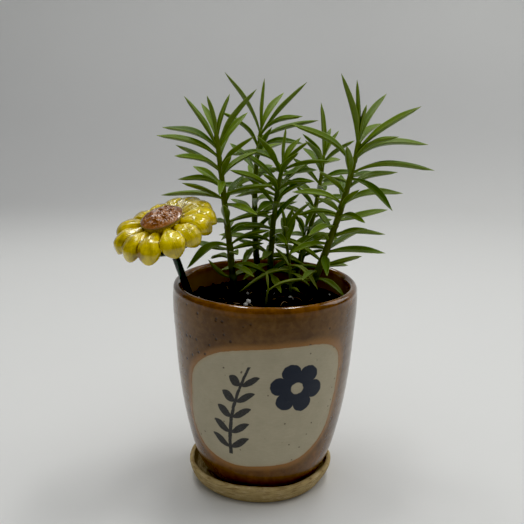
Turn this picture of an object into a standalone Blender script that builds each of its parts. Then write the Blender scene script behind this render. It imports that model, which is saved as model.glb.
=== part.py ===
"""A potted peperomia: a glazed pot on a clay saucer, soil, nine leafy shoots and a ceramic flower on a stake.

Units are metres, +Z is up, the pot's axis is the Z axis and the saucer stands on z = 0.
The side that a viewer sees first faces -Y, and +X is to the viewer's right.
"""

import math

import bmesh
import bpy
import numpy as np
from mathutils import Matrix, Vector

MM = 0.001
GAP = 0.3 * MM  # between two pieces that touch in the real thing

# Saucer: pinched by hand from one slab, so its rim waves a little
SAUCER_OFFSET = -1.3 * MM  # the pot doesn't stand quite in the middle
SAUCER_FOOT_RADIUS = 34.8 * MM
SAUCER_RADIUS = 39.8 * MM
SAUCER_HEIGHT = 11.3 * MM
SAUCER_FLOOR = 4.5 * MM
SAUCER_RIM_THICKNESS = 2.6 * MM
SAUCER_SIDES = 36

# Pot: outer radius at each height, from the foot to just under the lip
POT_FOOT = SAUCER_FLOOR + GAP
POT_TOP = 114.5 * MM
POT_RADIUS = 50.0 * MM
POT_OUTSIDE = [
    (28.4 * MM, POT_FOOT),
    (30.8 * MM, 6.2 * MM),
    (34.0 * MM, 10.6 * MM),
    (36.9 * MM, 17.0 * MM),
    (40.1 * MM, 27.0 * MM),
    (44.2 * MM, 46.0 * MM),
    (47.0 * MM, 66.0 * MM),
    (48.6 * MM, 85.0 * MM),
    (49.8 * MM, 101.0 * MM),
]
POT_WALL = 4.8 * MM
LIP_DROP = 4.0 * MM  # from the lip's crest down to where the wall starts
POT_FLOOR = 11.0 * MM
POT_BASE_RECESS = 1.4 * MM
POT_FOOT_RING_WIDTH = 4.2 * MM
DRAIN_RADIUS = 7.0 * MM
POT_SIDES = 36

# Soil
SOIL_EDGE = 101.6 * MM  # height at the pot's wall
SOIL_MOUND = 1.6 * MM
SOIL_LUMP = 0.5 * MM
SOIL_LEVEL = 103.0 * MM  # heights along a shoot are counted from here

# Shoots
ROOT_DEPTH = 12.0 * MM  # how far a shoot goes down its hole in the soil
HOLE_GAP = 0.35 * MM
HOLE_SPARE = 1.0 * MM  # how much deeper than the stem a hole is
STEM_SIDES = 6
STEM_TAPER = 0.42  # how much thinner a stem is at its top
STEM_STEP = 9.0  # mm of height between the rings of a stem
BLADE_STEP = 8.0 * MM  # a leaf has a ring about this often along its length
BLADE_FOLD = 0.72  # how far a blade's edges stand above its middle, as a share of its half width
BLADE_THICKNESS = 1.5 * MM
BLADE_KEEL = 0.6  # share of the thickness that lies under the middle line
LEAF_HALF_WIDTH = 0.95 * MM
LEAF_WIDENING = 0.049  # what a leaf's half width gains with its length
YOUNG_RISE = 55  # degrees: leaves that rise more are young, and up to YOUNG_NARROWER narrower
YOUNG_NARROWER = 0.14
LOW_NARROWER = 0.4  # how much narrower the leaves of the two low shoots are, which grew in the shade
BLADE_ROLL = 15  # degrees that leaves are rolled round their length, one way or the other
BLADE_FACING = 16  # degrees that leaves at the sides turn their upper face to the front, where the light was
BLADE_BELLY = 0.5  # where along its length a leaf is widest
PETIOLE = 0.26  # width at the leaf's foot, as a share of its width
FLICK = 1.9635  # radians of a sine that a leaf's arch follows: past a quarter turn, so the tip lifts again
FLICK_SHARE = 0.71  # scales that sine so that its tip lies where an even arch would end
SPIRAL_TURN = 137.5  # degrees from each leaf to the next one up the stem
SPIRAL_APART = 4  # mm up the stem; a spiral leaf that is nearer to a clear one, and by angle too, is left out
SPIRAL_ASIDE = 36  # degrees
SPIRAL_SWAY = (12, 15, 26)  # degrees by which spiral leaves differ in heading, rise and arch
CLEARANCE = 2.2 * MM  # between the sample points of blades on different shoots
WALL_CLEARANCE = 1.8 * MM  # between those points and the pot
SOIL_CLEARANCE = 2.2 * MM  # and above SOIL_LEVEL

# Flower on its stake
STAKE_FOOT = Vector((-40.6, 1.0, 103.0)) * MM
STAKE_LEAN = Vector((-0.28, -0.32, 1.0)).normalized()
STAKE_RADIUS = 2.0 * MM
FLOWER_RISE = 46.8 * MM  # from the soil along the stake to the middle of the petals
STAKE_DEPTH = 20.0 * MM
PETALS = (  # pressed on by eye: the way each one heads, in degrees, and how far it reaches, as a share
    (-168, 1.0), (-140, 0.97), (-110, 0.98), (-77, 0.97), (-48, 0.88), (-21, 0.92), (4, 0.97),
    (28, 0.99), (51, 1.01), (75, 0.99), (101, 0.82), (130, 0.91), (161, 1.0),
)
PETAL_TIP = 28.0 * MM
PETAL_ROOT = 6.0 * MM
PETAL_WIDTH = 12.8 * MM
PETAL_THICKNESS = 9.8 * MM
PETAL_ARCH = 1.6 * MM  # how far a petal's middle stands up
PETAL_DROOP = 2.6 * MM  # how far its end hangs down
PETAL_SWAY = 0.4 * MM  # by which some lie higher than others
PETAL_NECK = 0.38  # its width at the root, as a share of the widest
PETAL_WAIST = 1.6  # above 1 it stays narrow for longer
PETAL_BULB = 0.7  # share of a petal's length where its round end starts
PETAL_FATNESS = 0.5  # power of the width that the thickness follows
PETAL_BLUNT = 2.4  # 2 would make that end an ellipse
PETAL_RINGS = (0, 0.3, 0.52, 0.7, 0.87, 0.97)  # shares of its length
PETAL_SIDES = 8
HUB_RADIUS = 10.8 * MM
HUB_FRONT = 4.8 * MM  # the disc's seat, counted from the middle of the petals
HUB_BACK = -5.2 * MM  # the calyx's seat
DISC_RADIUS = 11.2 * MM
DISC_HEIGHT = 3.8 * MM
DISC_RIM = 1.0 * MM
PITS = 12  # in each ring of pits
PIT_DEPTH = 0.45 * MM
FLOWER_SIDES = 20
CALYX_RADIUS = 19.0 * MM
CALYX_THICKNESS = 3.0 * MM
SOCKET_RADIUS = 4.4 * MM
SOCKET_LENGTH = 5.0 * MM
SOCKET_DEPTH = 5.5 * MM

# Each shoot: where it leaves the soil, a point half way and its top, all in mm, and its radius at the foot.
# "leaves" are those that show clearly: millimetres up the shoot above the soil, then the way the leaf heads
# (0 = +X, 90 = away from the viewer), how steeply it leaves the stem and how far it arches over, in degrees,
# and its length in mm. "spiral" leaves fill the rest by a rule: first and last height, spacing, first heading
# and length.
SHOOTS = {
    "shoot_left": {
        "line": [(-17.0, 12, 103), (-21.8, 11, 146), (-27.3, 8, 192)],
        "radius": 1.9,
        "leaves": [
            (10, 185, -10, -90, 18),
            (16, 310, 10, 30, 20),
            (26, 150, -15, -35, 28),
            (27, 220, 35, 100, 32),
            (28, 335, 40, 30, 27),
            (33, 50, 30, 55, 22),
            (41, 125, -5, 10, 20),
            (51, 310, 5, 15, 28),
            (54, 165, 12, 25, 37),
            (59, 200, 50, 70, 27),
            (61, 130, 20, 10, 29),
            (66, 295, 50, 10, 19),
            (70, 215, 38, 40, 30),
            (76, 185, 45, 50, 36),
            (80, 165, 52, 65, 35),
            (81, 190, 62, 10, 33),
            (80, 40, 60, 30, 28),
            (82, 340, 68, 25, 38),
            (84, 125, 72, 45, 27),
            (86, 20, 84, 20, 25),
            (88, 210, 80, 10, 22),
        ],
        "spiral": (10, 84, 3.1, 80, 28),
    },
    "shoot_back": {
        "line": [(-3.8, 37, 103), (-7.0, 38.5, 150), (-4.2, 40, 190)],
        "radius": 1.8,
        "leaves": [
            (51, 135, 18, 50, 24),
            (59, 310, 45, 60, 21),
            (60, 235, 12, 35, 24),
            (61, 70, 20, 25, 29),
            (65, 125, 30, 10, 31),
            (74, 60, 18, 20, 31),
            (78, 225, 65, 55, 37),
            (84, 20, 22, 15, 37),
            (85, 325, 57, 65, 32),
            (86, 350, 54, 10, 39),
            (86, 190, 74, 30, 40),
            (87, 50, 72, 50, 30),
            (87, 0, 87, 0, 30),
        ],
        "spiral": (10, 80, 3.1, 200, 28),
    },
    "shoot_middle": {
        "line": [(2.5, 24, 103), (4.0, 23, 143), (8.3, 22, 174)],
        "radius": 1.65,
        "leaves": [
            (49, 245, 22, 45, 25),
            (54, 150, 18, 50, 28),
            (56, 215, 35, 20, 35),
            (57, 315, 40, 45, 29),
            (65, 40, 10, 15, 28),
            (66, 230, 58, 20, 31),
            (68, 330, 30, 30, 31),
            (69, 155, 55, 90, 35),
            (70, 315, 50, 20, 25),
            (70, 40, 72, 45, 21),
            (70, 355, 86, 0, 22),
        ],
        "spiral": (9, 66, 2.6, 300, 27),
    },
    "shoot_far": {
        "line": [(16.5, 36, 103), (27.0, 40, 142), (32.0, 44, 176)],
        "radius": 1.55,
        "leaves": [
            (56, 60, 5, 15, 24),
            (69, 60, 8, 15, 24),
            (70, 230, 62, 40, 27),
            (70, 305, 35, 10, 31),
            (72, 30, 70, 25, 19),
            (73, 70, 74, 50, 21),
            (73, 180, 88, 5, 31),
        ],
        "spiral": (10, 68, 2.8, 20, 26),
    },
    "shoot_right": {
        "line": [(22.5, 5, 103), (37.5, 1, 148), (46.6, -4, 190)],
        "radius": 2.0,
        "leaves": [
            (12, 355, 5, 60, 20),
            (17, 40, 5, 35, 23),
            (20, 340, 5, -25, 24),
            (27, 10, 8, 20, 34),
            (28, 35, 25, 10, 28),
            (29, 115, -5, 10, 22),
            (33, 235, 50, 50, 20),
            (37, 10, 12, 25, 30),
            (45, 25, 2, -10, 32),
            (46, 305, 38, 65, 23),
            (50, 235, 30, 10, 26),
            (53, 0, 46, 65, 34),
            (54, 175, 50, 55, 28),
            (60, 230, 36, 10, 28),
            (66, 120, 8, 30, 26),
            (68, 325, 2, 60, 30),
            (69, 50, 2, 10, 31),
            (71, 340, 31, 50, 44),
            (74, 195, 64, 60, 42),
            (78, 5, 50, 75, 41),
            (83, 340, 47, 20, 40),
            (85, 60, 40, 45, 33),
            (85, 220, 82, 25, 40),
            (86, 45, 72, 45, 34),
            (86, 185, 84, -5, 33),
            (87, 5, 83, 5, 20),
        ],
        "spiral": (12, 80, 3.3, 90, 28),
    },
    "shoot_short": {
        "line": [(16.0, 18, 103), (13.2, 18.7, 120), (10.2, 19.5, 137)],
        "radius": 1.2,
        "leaves": [(33, 170, 78, 10, 15), (34, 20, 76, 15, 15), (32, 265, 50, 40, 18), (30, 100, 50, 30, 17)],
        "spiral": (8, 31, 2.3, 40, 24),
    },
    "shoot_slim": {
        "line": [(17.5, 29, 103), (19.6, 29.6, 119), (22.0, 30, 136)],
        "radius": 1.25,
        "leaves": [(32, 200, 66, 20, 16), (33, 20, 74, 20, 16), (31, 280, 45, 40, 17), (29, 100, 50, 30, 16)],
        "spiral": (8, 31, 2.3, 150, 23),
    },
    "shoot_low": {
        "line": [(14.0, 10, 103), (13.8, 10, 111), (13.2, 10, 120)],
        "radius": 1.1,
        "leaves": [
            (15, 187, 4, 55, 31),
            (17, 330, 30, 110, 24),
            (13, 320, -10, 55, 15),
            (16, 120, 55, 40, 16),
            (7, 20, 30, 50, 12),
            (6, 200, 45, 60, 9),
            (4, 300, 35, 60, 10),
        ],
        "spiral": None,
    },
    "shoot_front": {
        "line": [(0.6, -6, 103), (0.9, -6, 107), (1.6, -5.8, 111)],
        "radius": 0.9,
        "leaves": [
            (7.5, 8, 28, 45, 24),
            (8, 120, 82, 10, 10),
        ],
        "spiral": None,
    },
}

# Tried in turn for a leaf that would cross another shoot: change of heading and of steepness, in degrees
BEND_CLEAR = [(0, 0)] + [
    (turn * side, lift) for turn in (0, 9, 18, 27, 36) for lift in (0, 10, -10, 20) for side in (1, -1)
]


def clear_scene():
    for old in list(bpy.data.objects):
        bpy.data.objects.remove(old)


def material(name, colour, roughness):
    made = bpy.data.materials.get(name) or bpy.data.materials.new(name)
    made.use_nodes = True
    shader = made.node_tree.nodes["Principled BSDF"]
    shader.inputs["Base Color"].default_value = (*colour, 1)
    shader.inputs["Roughness"].default_value = roughness
    return made


def link(name, mesh, finish):
    """Adds the mesh to the scene as one named object, shaded smooth between its sharp edges."""
    made = bpy.data.objects.new(name, mesh)
    bpy.context.scene.collection.objects.link(made)
    if finish:
        mesh.materials.append(finish)
    mesh.shade_smooth()
    mesh.set_sharp_from_angle(angle=math.radians(40))
    return made


def apply_modifiers(made):
    """Keeps the mesh that the modifiers give, and takes them off."""
    graph = bpy.context.evaluated_depsgraph_get()
    mesh = bpy.data.meshes.new_from_object(made.evaluated_get(graph))
    made.modifiers.clear()
    made.data = mesh


def turned(profile, sides):
    """A closed outline of (radius, height) points, spun round the Z axis into one closed mesh."""
    work = bmesh.new()
    points = [work.verts.new((radius, 0, height)) for radius, height in profile]
    pairs = list(zip(points, points[1:]))
    if profile[0][0] > 0:
        pairs.append((points[-1], points[0]))
    edges = [work.edges.new(pair) for pair in pairs]
    bmesh.ops.spin(
        work,
        geom=points + edges,
        cent=(0, 0, 0),
        axis=(0, 0, 1),
        angle=math.tau,
        steps=sides,
        use_merge=True,
    )
    bmesh.ops.remove_doubles(work, verts=work.verts, dist=0.02 * MM)
    bmesh.ops.dissolve_degenerate(work, dist=0.001 * MM, edges=work.edges)
    bmesh.ops.recalc_face_normals(work, faces=work.faces)
    mesh = bpy.data.meshes.new("turned")
    work.to_mesh(mesh)
    work.free()
    return mesh


def build_saucer():
    radius, thick, height = SAUCER_RADIUS, SAUCER_RIM_THICKNESS, SAUCER_HEIGHT
    inner = radius - thick
    profile = [
        (0, 0),
        (SAUCER_FOOT_RADIUS - 1.2 * MM, 0),
        (SAUCER_FOOT_RADIUS, 1.0 * MM),
        (radius - 1.5 * MM, 0.5 * height),
        (radius, height - 1.4 * MM),
        (radius - 0.6 * MM, height),
        (inner + 0.5 * MM, height),
        (inner, height - 0.8 * MM),
        (inner - 1.0 * MM, 0.55 * height),
        (inner - 2.8 * MM, SAUCER_FLOOR),
        (0, SAUCER_FLOOR),
    ]
    mesh = turned(profile, SAUCER_SIDES)
    for vertex in mesh.vertices:
        angle = math.atan2(vertex.co.y, vertex.co.x)
        lift = max(0.0, (vertex.co.z - SAUCER_FLOOR) / (height - SAUCER_FLOOR))
        if math.hypot(vertex.co.x, vertex.co.y) > inner - 1.5 * MM:
            swell = 0.5 * math.sin(2 * angle + 0.6) + 0.3 * math.sin(5 * angle + 1.0)
            vertex.co.xy *= 1 + swell * MM / radius
        vertex.co.z += lift * MM * (0.35 * math.sin(3 * angle + 2.0) + 0.2 * math.sin(7 * angle))
        vertex.co.x += SAUCER_OFFSET
    return link("saucer", mesh, material("bare_clay", (0.48, 0.37, 0.2), 0.85))


def pot_lip():
    """The rounded rim, from the outside over the crest to the inside."""
    half = POT_WALL / 2
    turns = [math.radians(degrees) for degrees in (20, 52, 90, 128, 160)]
    return [
        (POT_RADIUS - half + half * math.cos(turn), POT_TOP - LIP_DROP + LIP_DROP * math.sin(turn))
        for turn in turns
    ]


def pot_inside(offset=0.0, top=None):
    """The inner wall from the lip down to the floor, moved in from the wall by offset."""
    wall = [(radius - POT_WALL - offset, height) for radius, height in reversed(POT_OUTSIDE[4:])]
    floor = POT_FLOOR + offset
    low = [
        (31.2 * MM - offset, 17.5 * MM),
        (27.5 * MM - offset, floor + 1.6 * MM),
        (24.0 * MM - offset, floor),
    ]
    if top is not None:
        return [(POT_RADIUS - POT_WALL - offset, top)] + wall[1:] + low
    return wall + low


def build_pot():
    inner_foot = POT_OUTSIDE[0][0] - POT_FOOT_RING_WIDTH
    recess = POT_FOOT + POT_BASE_RECESS
    base = [
        (DRAIN_RADIUS, POT_FLOOR),
        (DRAIN_RADIUS, recess),
        (inner_foot - 0.8 * MM, recess),
        (inner_foot, POT_FOOT),
    ]
    profile = POT_OUTSIDE + pot_lip() + pot_inside() + base
    return link("pot", turned(profile, POT_SIDES), material("brown_glaze", (0.28, 0.13, 0.05), 0.3))


def soil_height(x, y):
    """A low mound with lumps, worked out from a few waves."""
    share = min(1.0, math.hypot(x, y) / (POT_RADIUS - POT_WALL))
    lumps = math.sin(x / (3.1 * MM) + 1) * math.sin(y / (3.7 * MM)) + 0.6 * math.sin((x + y) / (2.1 * MM))
    return SOIL_EDGE + SOIL_MOUND * (1 - share**2) + SOIL_LUMP * lumps * (1 - share**4)


def add_hole(made, name, foot, way, radius, depth):
    """Takes a round hole for what stands in the soil out of it, with a cutter that isn't rendered."""
    above = 8 * MM  # the cutter starts over the highest soil
    cut = bmesh.new()
    bmesh.ops.create_cone(
        cut, cap_ends=True, segments=8, radius1=radius, radius2=radius, depth=depth + above
    )
    bmesh.ops.translate(cut, verts=cut.verts, vec=(0, 0, (above - depth) / 2))
    bmesh.ops.rotate(cut, verts=cut.verts, cent=(0, 0, 0), matrix=way.to_track_quat("Z", "Y").to_matrix())
    bmesh.ops.translate(cut, verts=cut.verts, vec=foot)
    mesh = bpy.data.meshes.new(name)
    cut.to_mesh(mesh)
    cut.free()
    cutter = link(name, mesh, None)
    cutter.hide_render = True
    cutter.display_type = "WIRE"
    difference = made.modifiers.new(name, "BOOLEAN")
    difference.operation = "DIFFERENCE"
    difference.object = cutter


def build_soil(holes):
    """Fills the pot. holes are (foot, direction, radius, depth) of what stands in it."""
    inside = pot_inside(GAP, SOIL_EDGE)
    edge = inside[0][0]
    rings = [(edge * share, SOIL_EDGE) for share in (0, 0.25, 0.5, 0.75)]
    mesh = turned(rings + inside + [(0, inside[-1][1])], POT_SIDES)
    for vertex in mesh.vertices:
        if vertex.co.z > SOIL_EDGE - 0.01 * MM and math.hypot(vertex.co.x, vertex.co.y) < edge * 0.9:
            vertex.co.z = soil_height(vertex.co.x, vertex.co.y)
    made = link("soil", mesh, material("potting_soil", (0.02, 0.015, 0.012), 0.95))
    for number, (foot, way, radius, depth) in enumerate(holes):
        add_hole(made, f"hole_{number}", foot, way, radius, depth)


def stem_point(line, share):
    """The curve through a shoot's three points, at 0 to 1 of its length."""
    foot, middle, top = (np.array(point, float) * MM for point in line)
    early = foot * (1 - share) * (1 - 2 * share)
    return early + middle * 4 * share * (1 - share) + top * share * (2 * share - 1)


def stem_at_height(line, up):
    """The point on a shoot that lies a height above the soil, in mm."""
    tall = line[2][2] - line[0][2]
    share = min(1.0, up / tall)
    for _ in range(6):
        off = up * MM - (stem_point(line, share)[2] - line[0][2] * MM)
        share = min(1.0, max(0.0, share + off / (tall * MM)))
    return stem_point(line, share)


def leaf_line(leaf, steps):
    """Points down the middle of a leaf that leaves at rise and arches over by arch degrees, with the
    directions to its left edge and out of its upper face at each."""
    start, heading, rise, arch, length, _ = leaf
    turn = math.radians(heading)
    roll = math.radians(BLADE_ROLL * math.sin(heading * 3.1 + length / MM) + BLADE_FACING * math.cos(turn))
    forward = np.array([math.cos(turn), math.sin(turn), 0.0])
    flat = np.array([-forward[1], forward[0], 0.0])
    up = np.array([0, 0, 1.0])
    points, sides, normals = [np.array(start, float)], [], []
    for step in range(steps + 1):
        slope = math.radians(rise - FLICK_SHARE * arch * math.sin(FLICK * step / steps))
        normal = up * math.cos(slope) - forward * math.sin(slope)
        sides.append(flat * math.cos(roll) + normal * math.sin(roll))
        normals.append(normal * math.cos(roll) - flat * math.sin(roll))
        middle = math.radians(rise - FLICK_SHARE * arch * math.sin(FLICK * (step + 0.5) / steps))
        points.append(points[-1] + length / steps * (forward * math.cos(middle) + up * math.sin(middle)))
    return np.array(points[:-1]), np.array(sides), np.array(normals)


def leaf_half_width(shoot, rise, length):
    """Long leaves are wider, but less so than they are longer. Young upright ones and low ones are narrow."""
    young = min(1.0, max(0.0, (rise - YOUNG_RISE) / (85 - YOUNG_RISE)))
    low = 1 - LOW_NARROWER if shoot["spiral"] is None else 1
    return (LEAF_HALF_WIDTH + LEAF_WIDENING * length) * (1 - YOUNG_NARROWER * young) * low


def blade_width(share):
    """Half width of a blade along its length, as a share of the widest: a narrow foot and a pointed tip."""
    if share > BLADE_BELLY:
        return 1 - ((share - BLADE_BELLY) / (1 - BLADE_BELLY)) ** 2.1
    swell = share / BLADE_BELLY
    return PETIOLE + (1 - PETIOLE) * swell * swell * (3 - 2 * swell)


def leaf_samples(leaf):
    """Points spread over a leaf, that show how near it comes to other things."""
    steps = 16
    points, sides, normals = leaf_line(leaf, steps)
    rows = []
    for step in range(2, steps + 1):
        wide = leaf[5] * blade_width(step / steps)
        for across in (-1, -0.5, 0, 0.5, 1):
            out = sides[step] * across + normals[step] * abs(across) * BLADE_FOLD
            rows.append(points[step] + out * wide)
    return np.array(rows)


def inside_pot_wall(points):
    """True where any point would lie in the pot's wall or under the soil."""
    radius = np.hypot(points[:, 0], points[:, 1])
    free = POT_RADIUS - POT_WALL - WALL_CLEARANCE
    low = points[:, 2] < POT_TOP + WALL_CLEARANCE
    in_wall = low & (radius > free) & (radius < POT_RADIUS + WALL_CLEARANCE)
    in_soil = (radius <= free) & (points[:, 2] < SOIL_LEVEL + SOIL_CLEARANCE)
    return bool((in_wall | in_soil).any())


def flower_frame():
    """The flower's middle and its axes: two across the face and one out of it."""
    middle = STAKE_FOOT + STAKE_LEAN * FLOWER_RISE
    across = Vector((0, 1, 0)).cross(STAKE_LEAN).normalized()
    return middle, across, STAKE_LEAN.cross(across), STAKE_LEAN


def flower_samples():
    """Points spread over the flower and its stake, which leaves keep clear of."""
    middle, across, along, out = flower_frame()
    rows = []
    for ring in range(1, 8):
        for step in range(8 * ring):
            angle = math.tau * step / (8 * ring)
            spot = middle + (across * math.cos(angle) + along * math.sin(angle)) * (ring * PETAL_TIP / 7)
            rows += [spot + out * height * MM for height in (-6, -3, 0, 3)]
    rows += [STAKE_FOOT + STAKE_LEAN * step * 1.5 * MM for step in range(32)]
    return np.array(rows)


def stem_samples(shoot):
    """Points on a stem's middle line, pushed out to its skin."""
    rows = []
    for step in range(60):
        point = stem_point(shoot["line"], step / 59)
        for side in range(4):
            turn = math.radians(90 * side)
            rows.append(point + shoot["radius"] * MM * 0.8 * np.array([math.cos(turn), math.sin(turn), 0]))
    return np.array(rows)


def spiral_leaves(shoot):
    """Leaves set round the stem by one rule, where none of the leaves that show stands already."""
    if shoot["spiral"] is None:
        return []
    first, last, spacing, heading, longest = shoot["spiral"]
    found = []
    for number in range(int((last - first) / spacing) + 1):
        up = first + spacing * number
        way = (heading + SPIRAL_TURN * number) % 360
        share = up / last
        taken = any(
            abs(other[0] - up) < SPIRAL_APART and abs((other[1] - way + 180) % 360 - 180) < SPIRAL_ASIDE
            for other in shoot["leaves"]
        )
        if not taken:
            aside, lift, bend = (
                most * math.sin(number * (2.4 + 1.3 * kind) + heading)
                for kind, most in enumerate(SPIRAL_SWAY)
            )
            length = longest * (0.74 + 0.28 * share) * (1 + 0.1 * math.sin(number * 5.1))
            found.append((up, way + aside, 10 + 42 * share**1.2 + lift, 36 + bend, length))
    return found


def place_leaves():
    """Every shoot's leaves, each turned or lifted until it is clear of the other shoots. Leaves are
    (start, heading, rise, arch, length, half width)."""
    taken = {name: [stem_samples(shoot)] for name, shoot in SHOOTS.items()}
    taken["flower"] = [flower_samples()]
    placed = {name: [] for name in SHOOTS}
    rounds = [(name, row) for name, shoot in SHOOTS.items() for row in shoot["leaves"]]
    rounds += [(name, row) for name, shoot in SHOOTS.items() for row in spiral_leaves(shoot)]
    for name, (up, heading, rise, arch, length) in rounds:
        start = stem_at_height(SHOOTS[name]["line"], up)
        others = np.concatenate([points for other, rows in taken.items() if other != name for points in rows])
        near = others[np.linalg.norm(others - start, axis=1) < (length + 6) * MM]
        for turn, lift in BEND_CLEAR:
            wide = leaf_half_width(SHOOTS[name], rise + lift, length * MM)
            leaf = (start, heading + turn, rise + lift, arch, length * MM, wide)
            points = leaf_samples(leaf)
            if inside_pot_wall(points):
                continue
            if len(near) and np.linalg.norm(points[:, None] - near[None], axis=2).min() < CLEARANCE:
                continue
            placed[name].append(leaf)
            taken[name].append(points)
            break
    return placed


def strip_mesh(rings, tip):
    """A closed tube through rings of points, with a flat foot and a pointed end."""
    work = bmesh.new()
    rows = [[work.verts.new(point) for point in ring] for ring in rings]
    last = work.verts.new(tip)
    count = len(rows[0])
    for low, high in zip(rows, rows[1:]):
        for n in range(count):
            work.faces.new((low[n], low[(n + 1) % count], high[(n + 1) % count], high[n]))
    for n in range(count):
        work.faces.new((rows[-1][n], rows[-1][(n + 1) % count], last))
    work.faces.new(rows[0])
    bmesh.ops.triangulate(work, faces=work.faces)
    bmesh.ops.recalc_face_normals(work, faces=work.faces)
    mesh = bpy.data.meshes.new("strip")
    work.to_mesh(mesh)
    work.free()
    return mesh


def leaf_mesh(leaf):
    """A narrow blade, folded a little along its middle and thickest there."""
    steps = max(4, round(leaf[4] / BLADE_STEP))
    points, sides, normals = leaf_line(leaf, steps)
    rings = []
    for step in range(steps):
        share = blade_width(step / steps)
        wide = leaf[5] * share
        thick = BLADE_THICKNESS * (0.7 + 0.3 * share)
        edge = normals[step] * BLADE_FOLD * wide
        rings.append(
            [
                points[step] - sides[step] * wide + edge,
                points[step] - normals[step] * thick * BLADE_KEEL,
                points[step] + sides[step] * wide + edge,
                points[step] + normals[step] * thick * (1 - BLADE_KEEL),
            ]
        )
    return strip_mesh(rings, points[-1])


def stem_mesh(shoot):
    """A round stem that narrows to its top and goes straight down into the soil."""
    line, radius = shoot["line"], shoot["radius"] * MM
    way = stem_direction(line)
    rings, steps = [], max(3, round((line[2][2] - line[0][2]) / STEM_STEP))
    for step in range(-1, steps + 1):
        if step < 0:
            centre = np.array(stem_point(line, 0)) - np.array(way) * ROOT_DEPTH
        else:
            centre = stem_point(line, step / steps)
        width = radius * (1 - STEM_TAPER * max(0, step) / steps)
        rings.append(
            [
                centre + width * np.array([math.cos(a), math.sin(a), 0])
                for a in (math.tau * n / STEM_SIDES for n in range(STEM_SIDES))
            ]
        )
    return strip_mesh(rings, stem_point(line, 1) + np.array([0, 0, 2 * MM]))


def stem_direction(line):
    """The way a shoot leaves the soil."""
    return Vector(stem_point(line, 0.06) - stem_point(line, 0)).normalized()


def build_shoots():
    finish = material("leaf_green", (0.13, 0.27, 0.03), 0.4)
    for name, leaves in place_leaves().items():
        stem = link(name, stem_mesh(SHOOTS[name]), finish)
        collection = bpy.data.collections.new(name + "_leaves")
        bpy.context.scene.collection.children.link(collection)
        for leaf in leaves:
            blade = bpy.data.objects.new("blade", leaf_mesh(leaf))
            collection.objects.link(blade)
        fuse(stem, collection)


def fuse(made, collection):
    """Joins the objects of a collection to one object as a single closed body."""
    union = made.modifiers.new("union", "BOOLEAN")
    union.operation = "UNION"
    union.operand_type = "COLLECTION"
    union.collection = collection
    bpy.context.view_layer.update()
    apply_modifiers(made)
    for piece in list(collection.objects):
        bpy.data.objects.remove(piece)
    bpy.data.collections.remove(collection)
    made.data.shade_smooth()
    made.data.set_sharp_from_angle(angle=math.radians(40))


def place_on_stake(made):
    """Moves a piece that was made round the Z axis to where the flower is."""
    middle, across, along, out = flower_frame()
    place = Matrix((across, along, out)).transposed().to_4x4()
    place.translation = middle
    made.matrix_world = place


def petal_width(share):
    """Half width of a petal along its length, as a share of the widest: a narrow root and a round end."""
    if share > PETAL_BULB:
        return (1 - ((share - PETAL_BULB) / (1 - PETAL_BULB)) ** PETAL_BLUNT) ** (1 / PETAL_BLUNT)
    swell = (share / PETAL_BULB) ** PETAL_WAIST
    return PETAL_NECK + (1 - PETAL_NECK) * swell * swell * (3 - 2 * swell)


def petal_mesh(number):
    """A fat petal, pressed by hand: narrow at its root, with a round end that droops."""
    sway = PETAL_SWAY * math.sin(number * 2.7 + 0.4)
    heading, share_of_reach = PETALS[number]
    angle = math.radians(heading)
    reach = PETAL_TIP * share_of_reach
    out = np.array([math.cos(angle), math.sin(angle), 0])
    side = np.array([-out[1], out[0], 0])
    up = np.array([0, 0, 1.0])
    rings = []
    for share in PETAL_RINGS:
        width = PETAL_WIDTH / 2 * petal_width(share)
        thick = PETAL_THICKNESS / 2 * petal_width(share) ** PETAL_FATNESS
        lift = sway + PETAL_ARCH * math.sin(math.pi * share) - PETAL_DROOP * share**2
        centre = out * (PETAL_ROOT + (reach - PETAL_ROOT) * share) + up * lift
        rings.append(
            [
                centre + side * width * math.cos(a) + up * thick * math.sin(a)
                for a in (math.tau * n / PETAL_SIDES for n in range(PETAL_SIDES))
            ]
        )
    return strip_mesh(rings, out * reach + up * (sway - PETAL_DROOP))


def build_petals():
    """Yellow petals in one glazed body, with a flat seat for the disc in front and for the calyx behind."""
    petals = link("flower_petals", petal_mesh(0), material("yellow_glaze", (0.62, 0.5, 0.03), 0.15))
    collection = bpy.data.collections.new("petals")
    bpy.context.scene.collection.children.link(collection)
    for number in range(1, len(PETALS)):
        collection.objects.link(bpy.data.objects.new("petal", petal_mesh(number)))
    outline = [(0, HUB_FRONT), (HUB_RADIUS, HUB_FRONT), (HUB_RADIUS, HUB_BACK), (0, HUB_BACK)]
    hub = turned(outline, FLOWER_SIDES)
    collection.objects.link(bpy.data.objects.new("petal_hub", hub))
    fuse(petals, collection)
    place_on_stake(petals)


def build_disc():
    """The flower's middle: a low dome pitted by a pointed tool, in rings of pits."""
    rings = 5
    dome = [(DISC_RADIUS * ring / rings, DISC_HEIGHT * (1 - (ring / rings) ** 2.6)) for ring in range(rings)]
    mesh = turned(dome + [(DISC_RADIUS, DISC_RIM), (DISC_RADIUS, 0), (0, 0)], PITS * 2)
    for vertex in mesh.vertices:
        away = math.hypot(vertex.co.x, vertex.co.y) / DISC_RADIUS
        if vertex.co.z > DISC_RIM * 1.2:
            angle = math.atan2(vertex.co.y, vertex.co.x)
            vertex.co.z += PIT_DEPTH * math.sin(PITS * angle + 9 * away) * min(1.0, away * 2)
        vertex.co.z += HUB_FRONT + GAP
    disc = link("flower_disc", mesh, material("disc_glaze", (0.3, 0.11, 0.04), 0.15))
    place_on_stake(disc)


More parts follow.
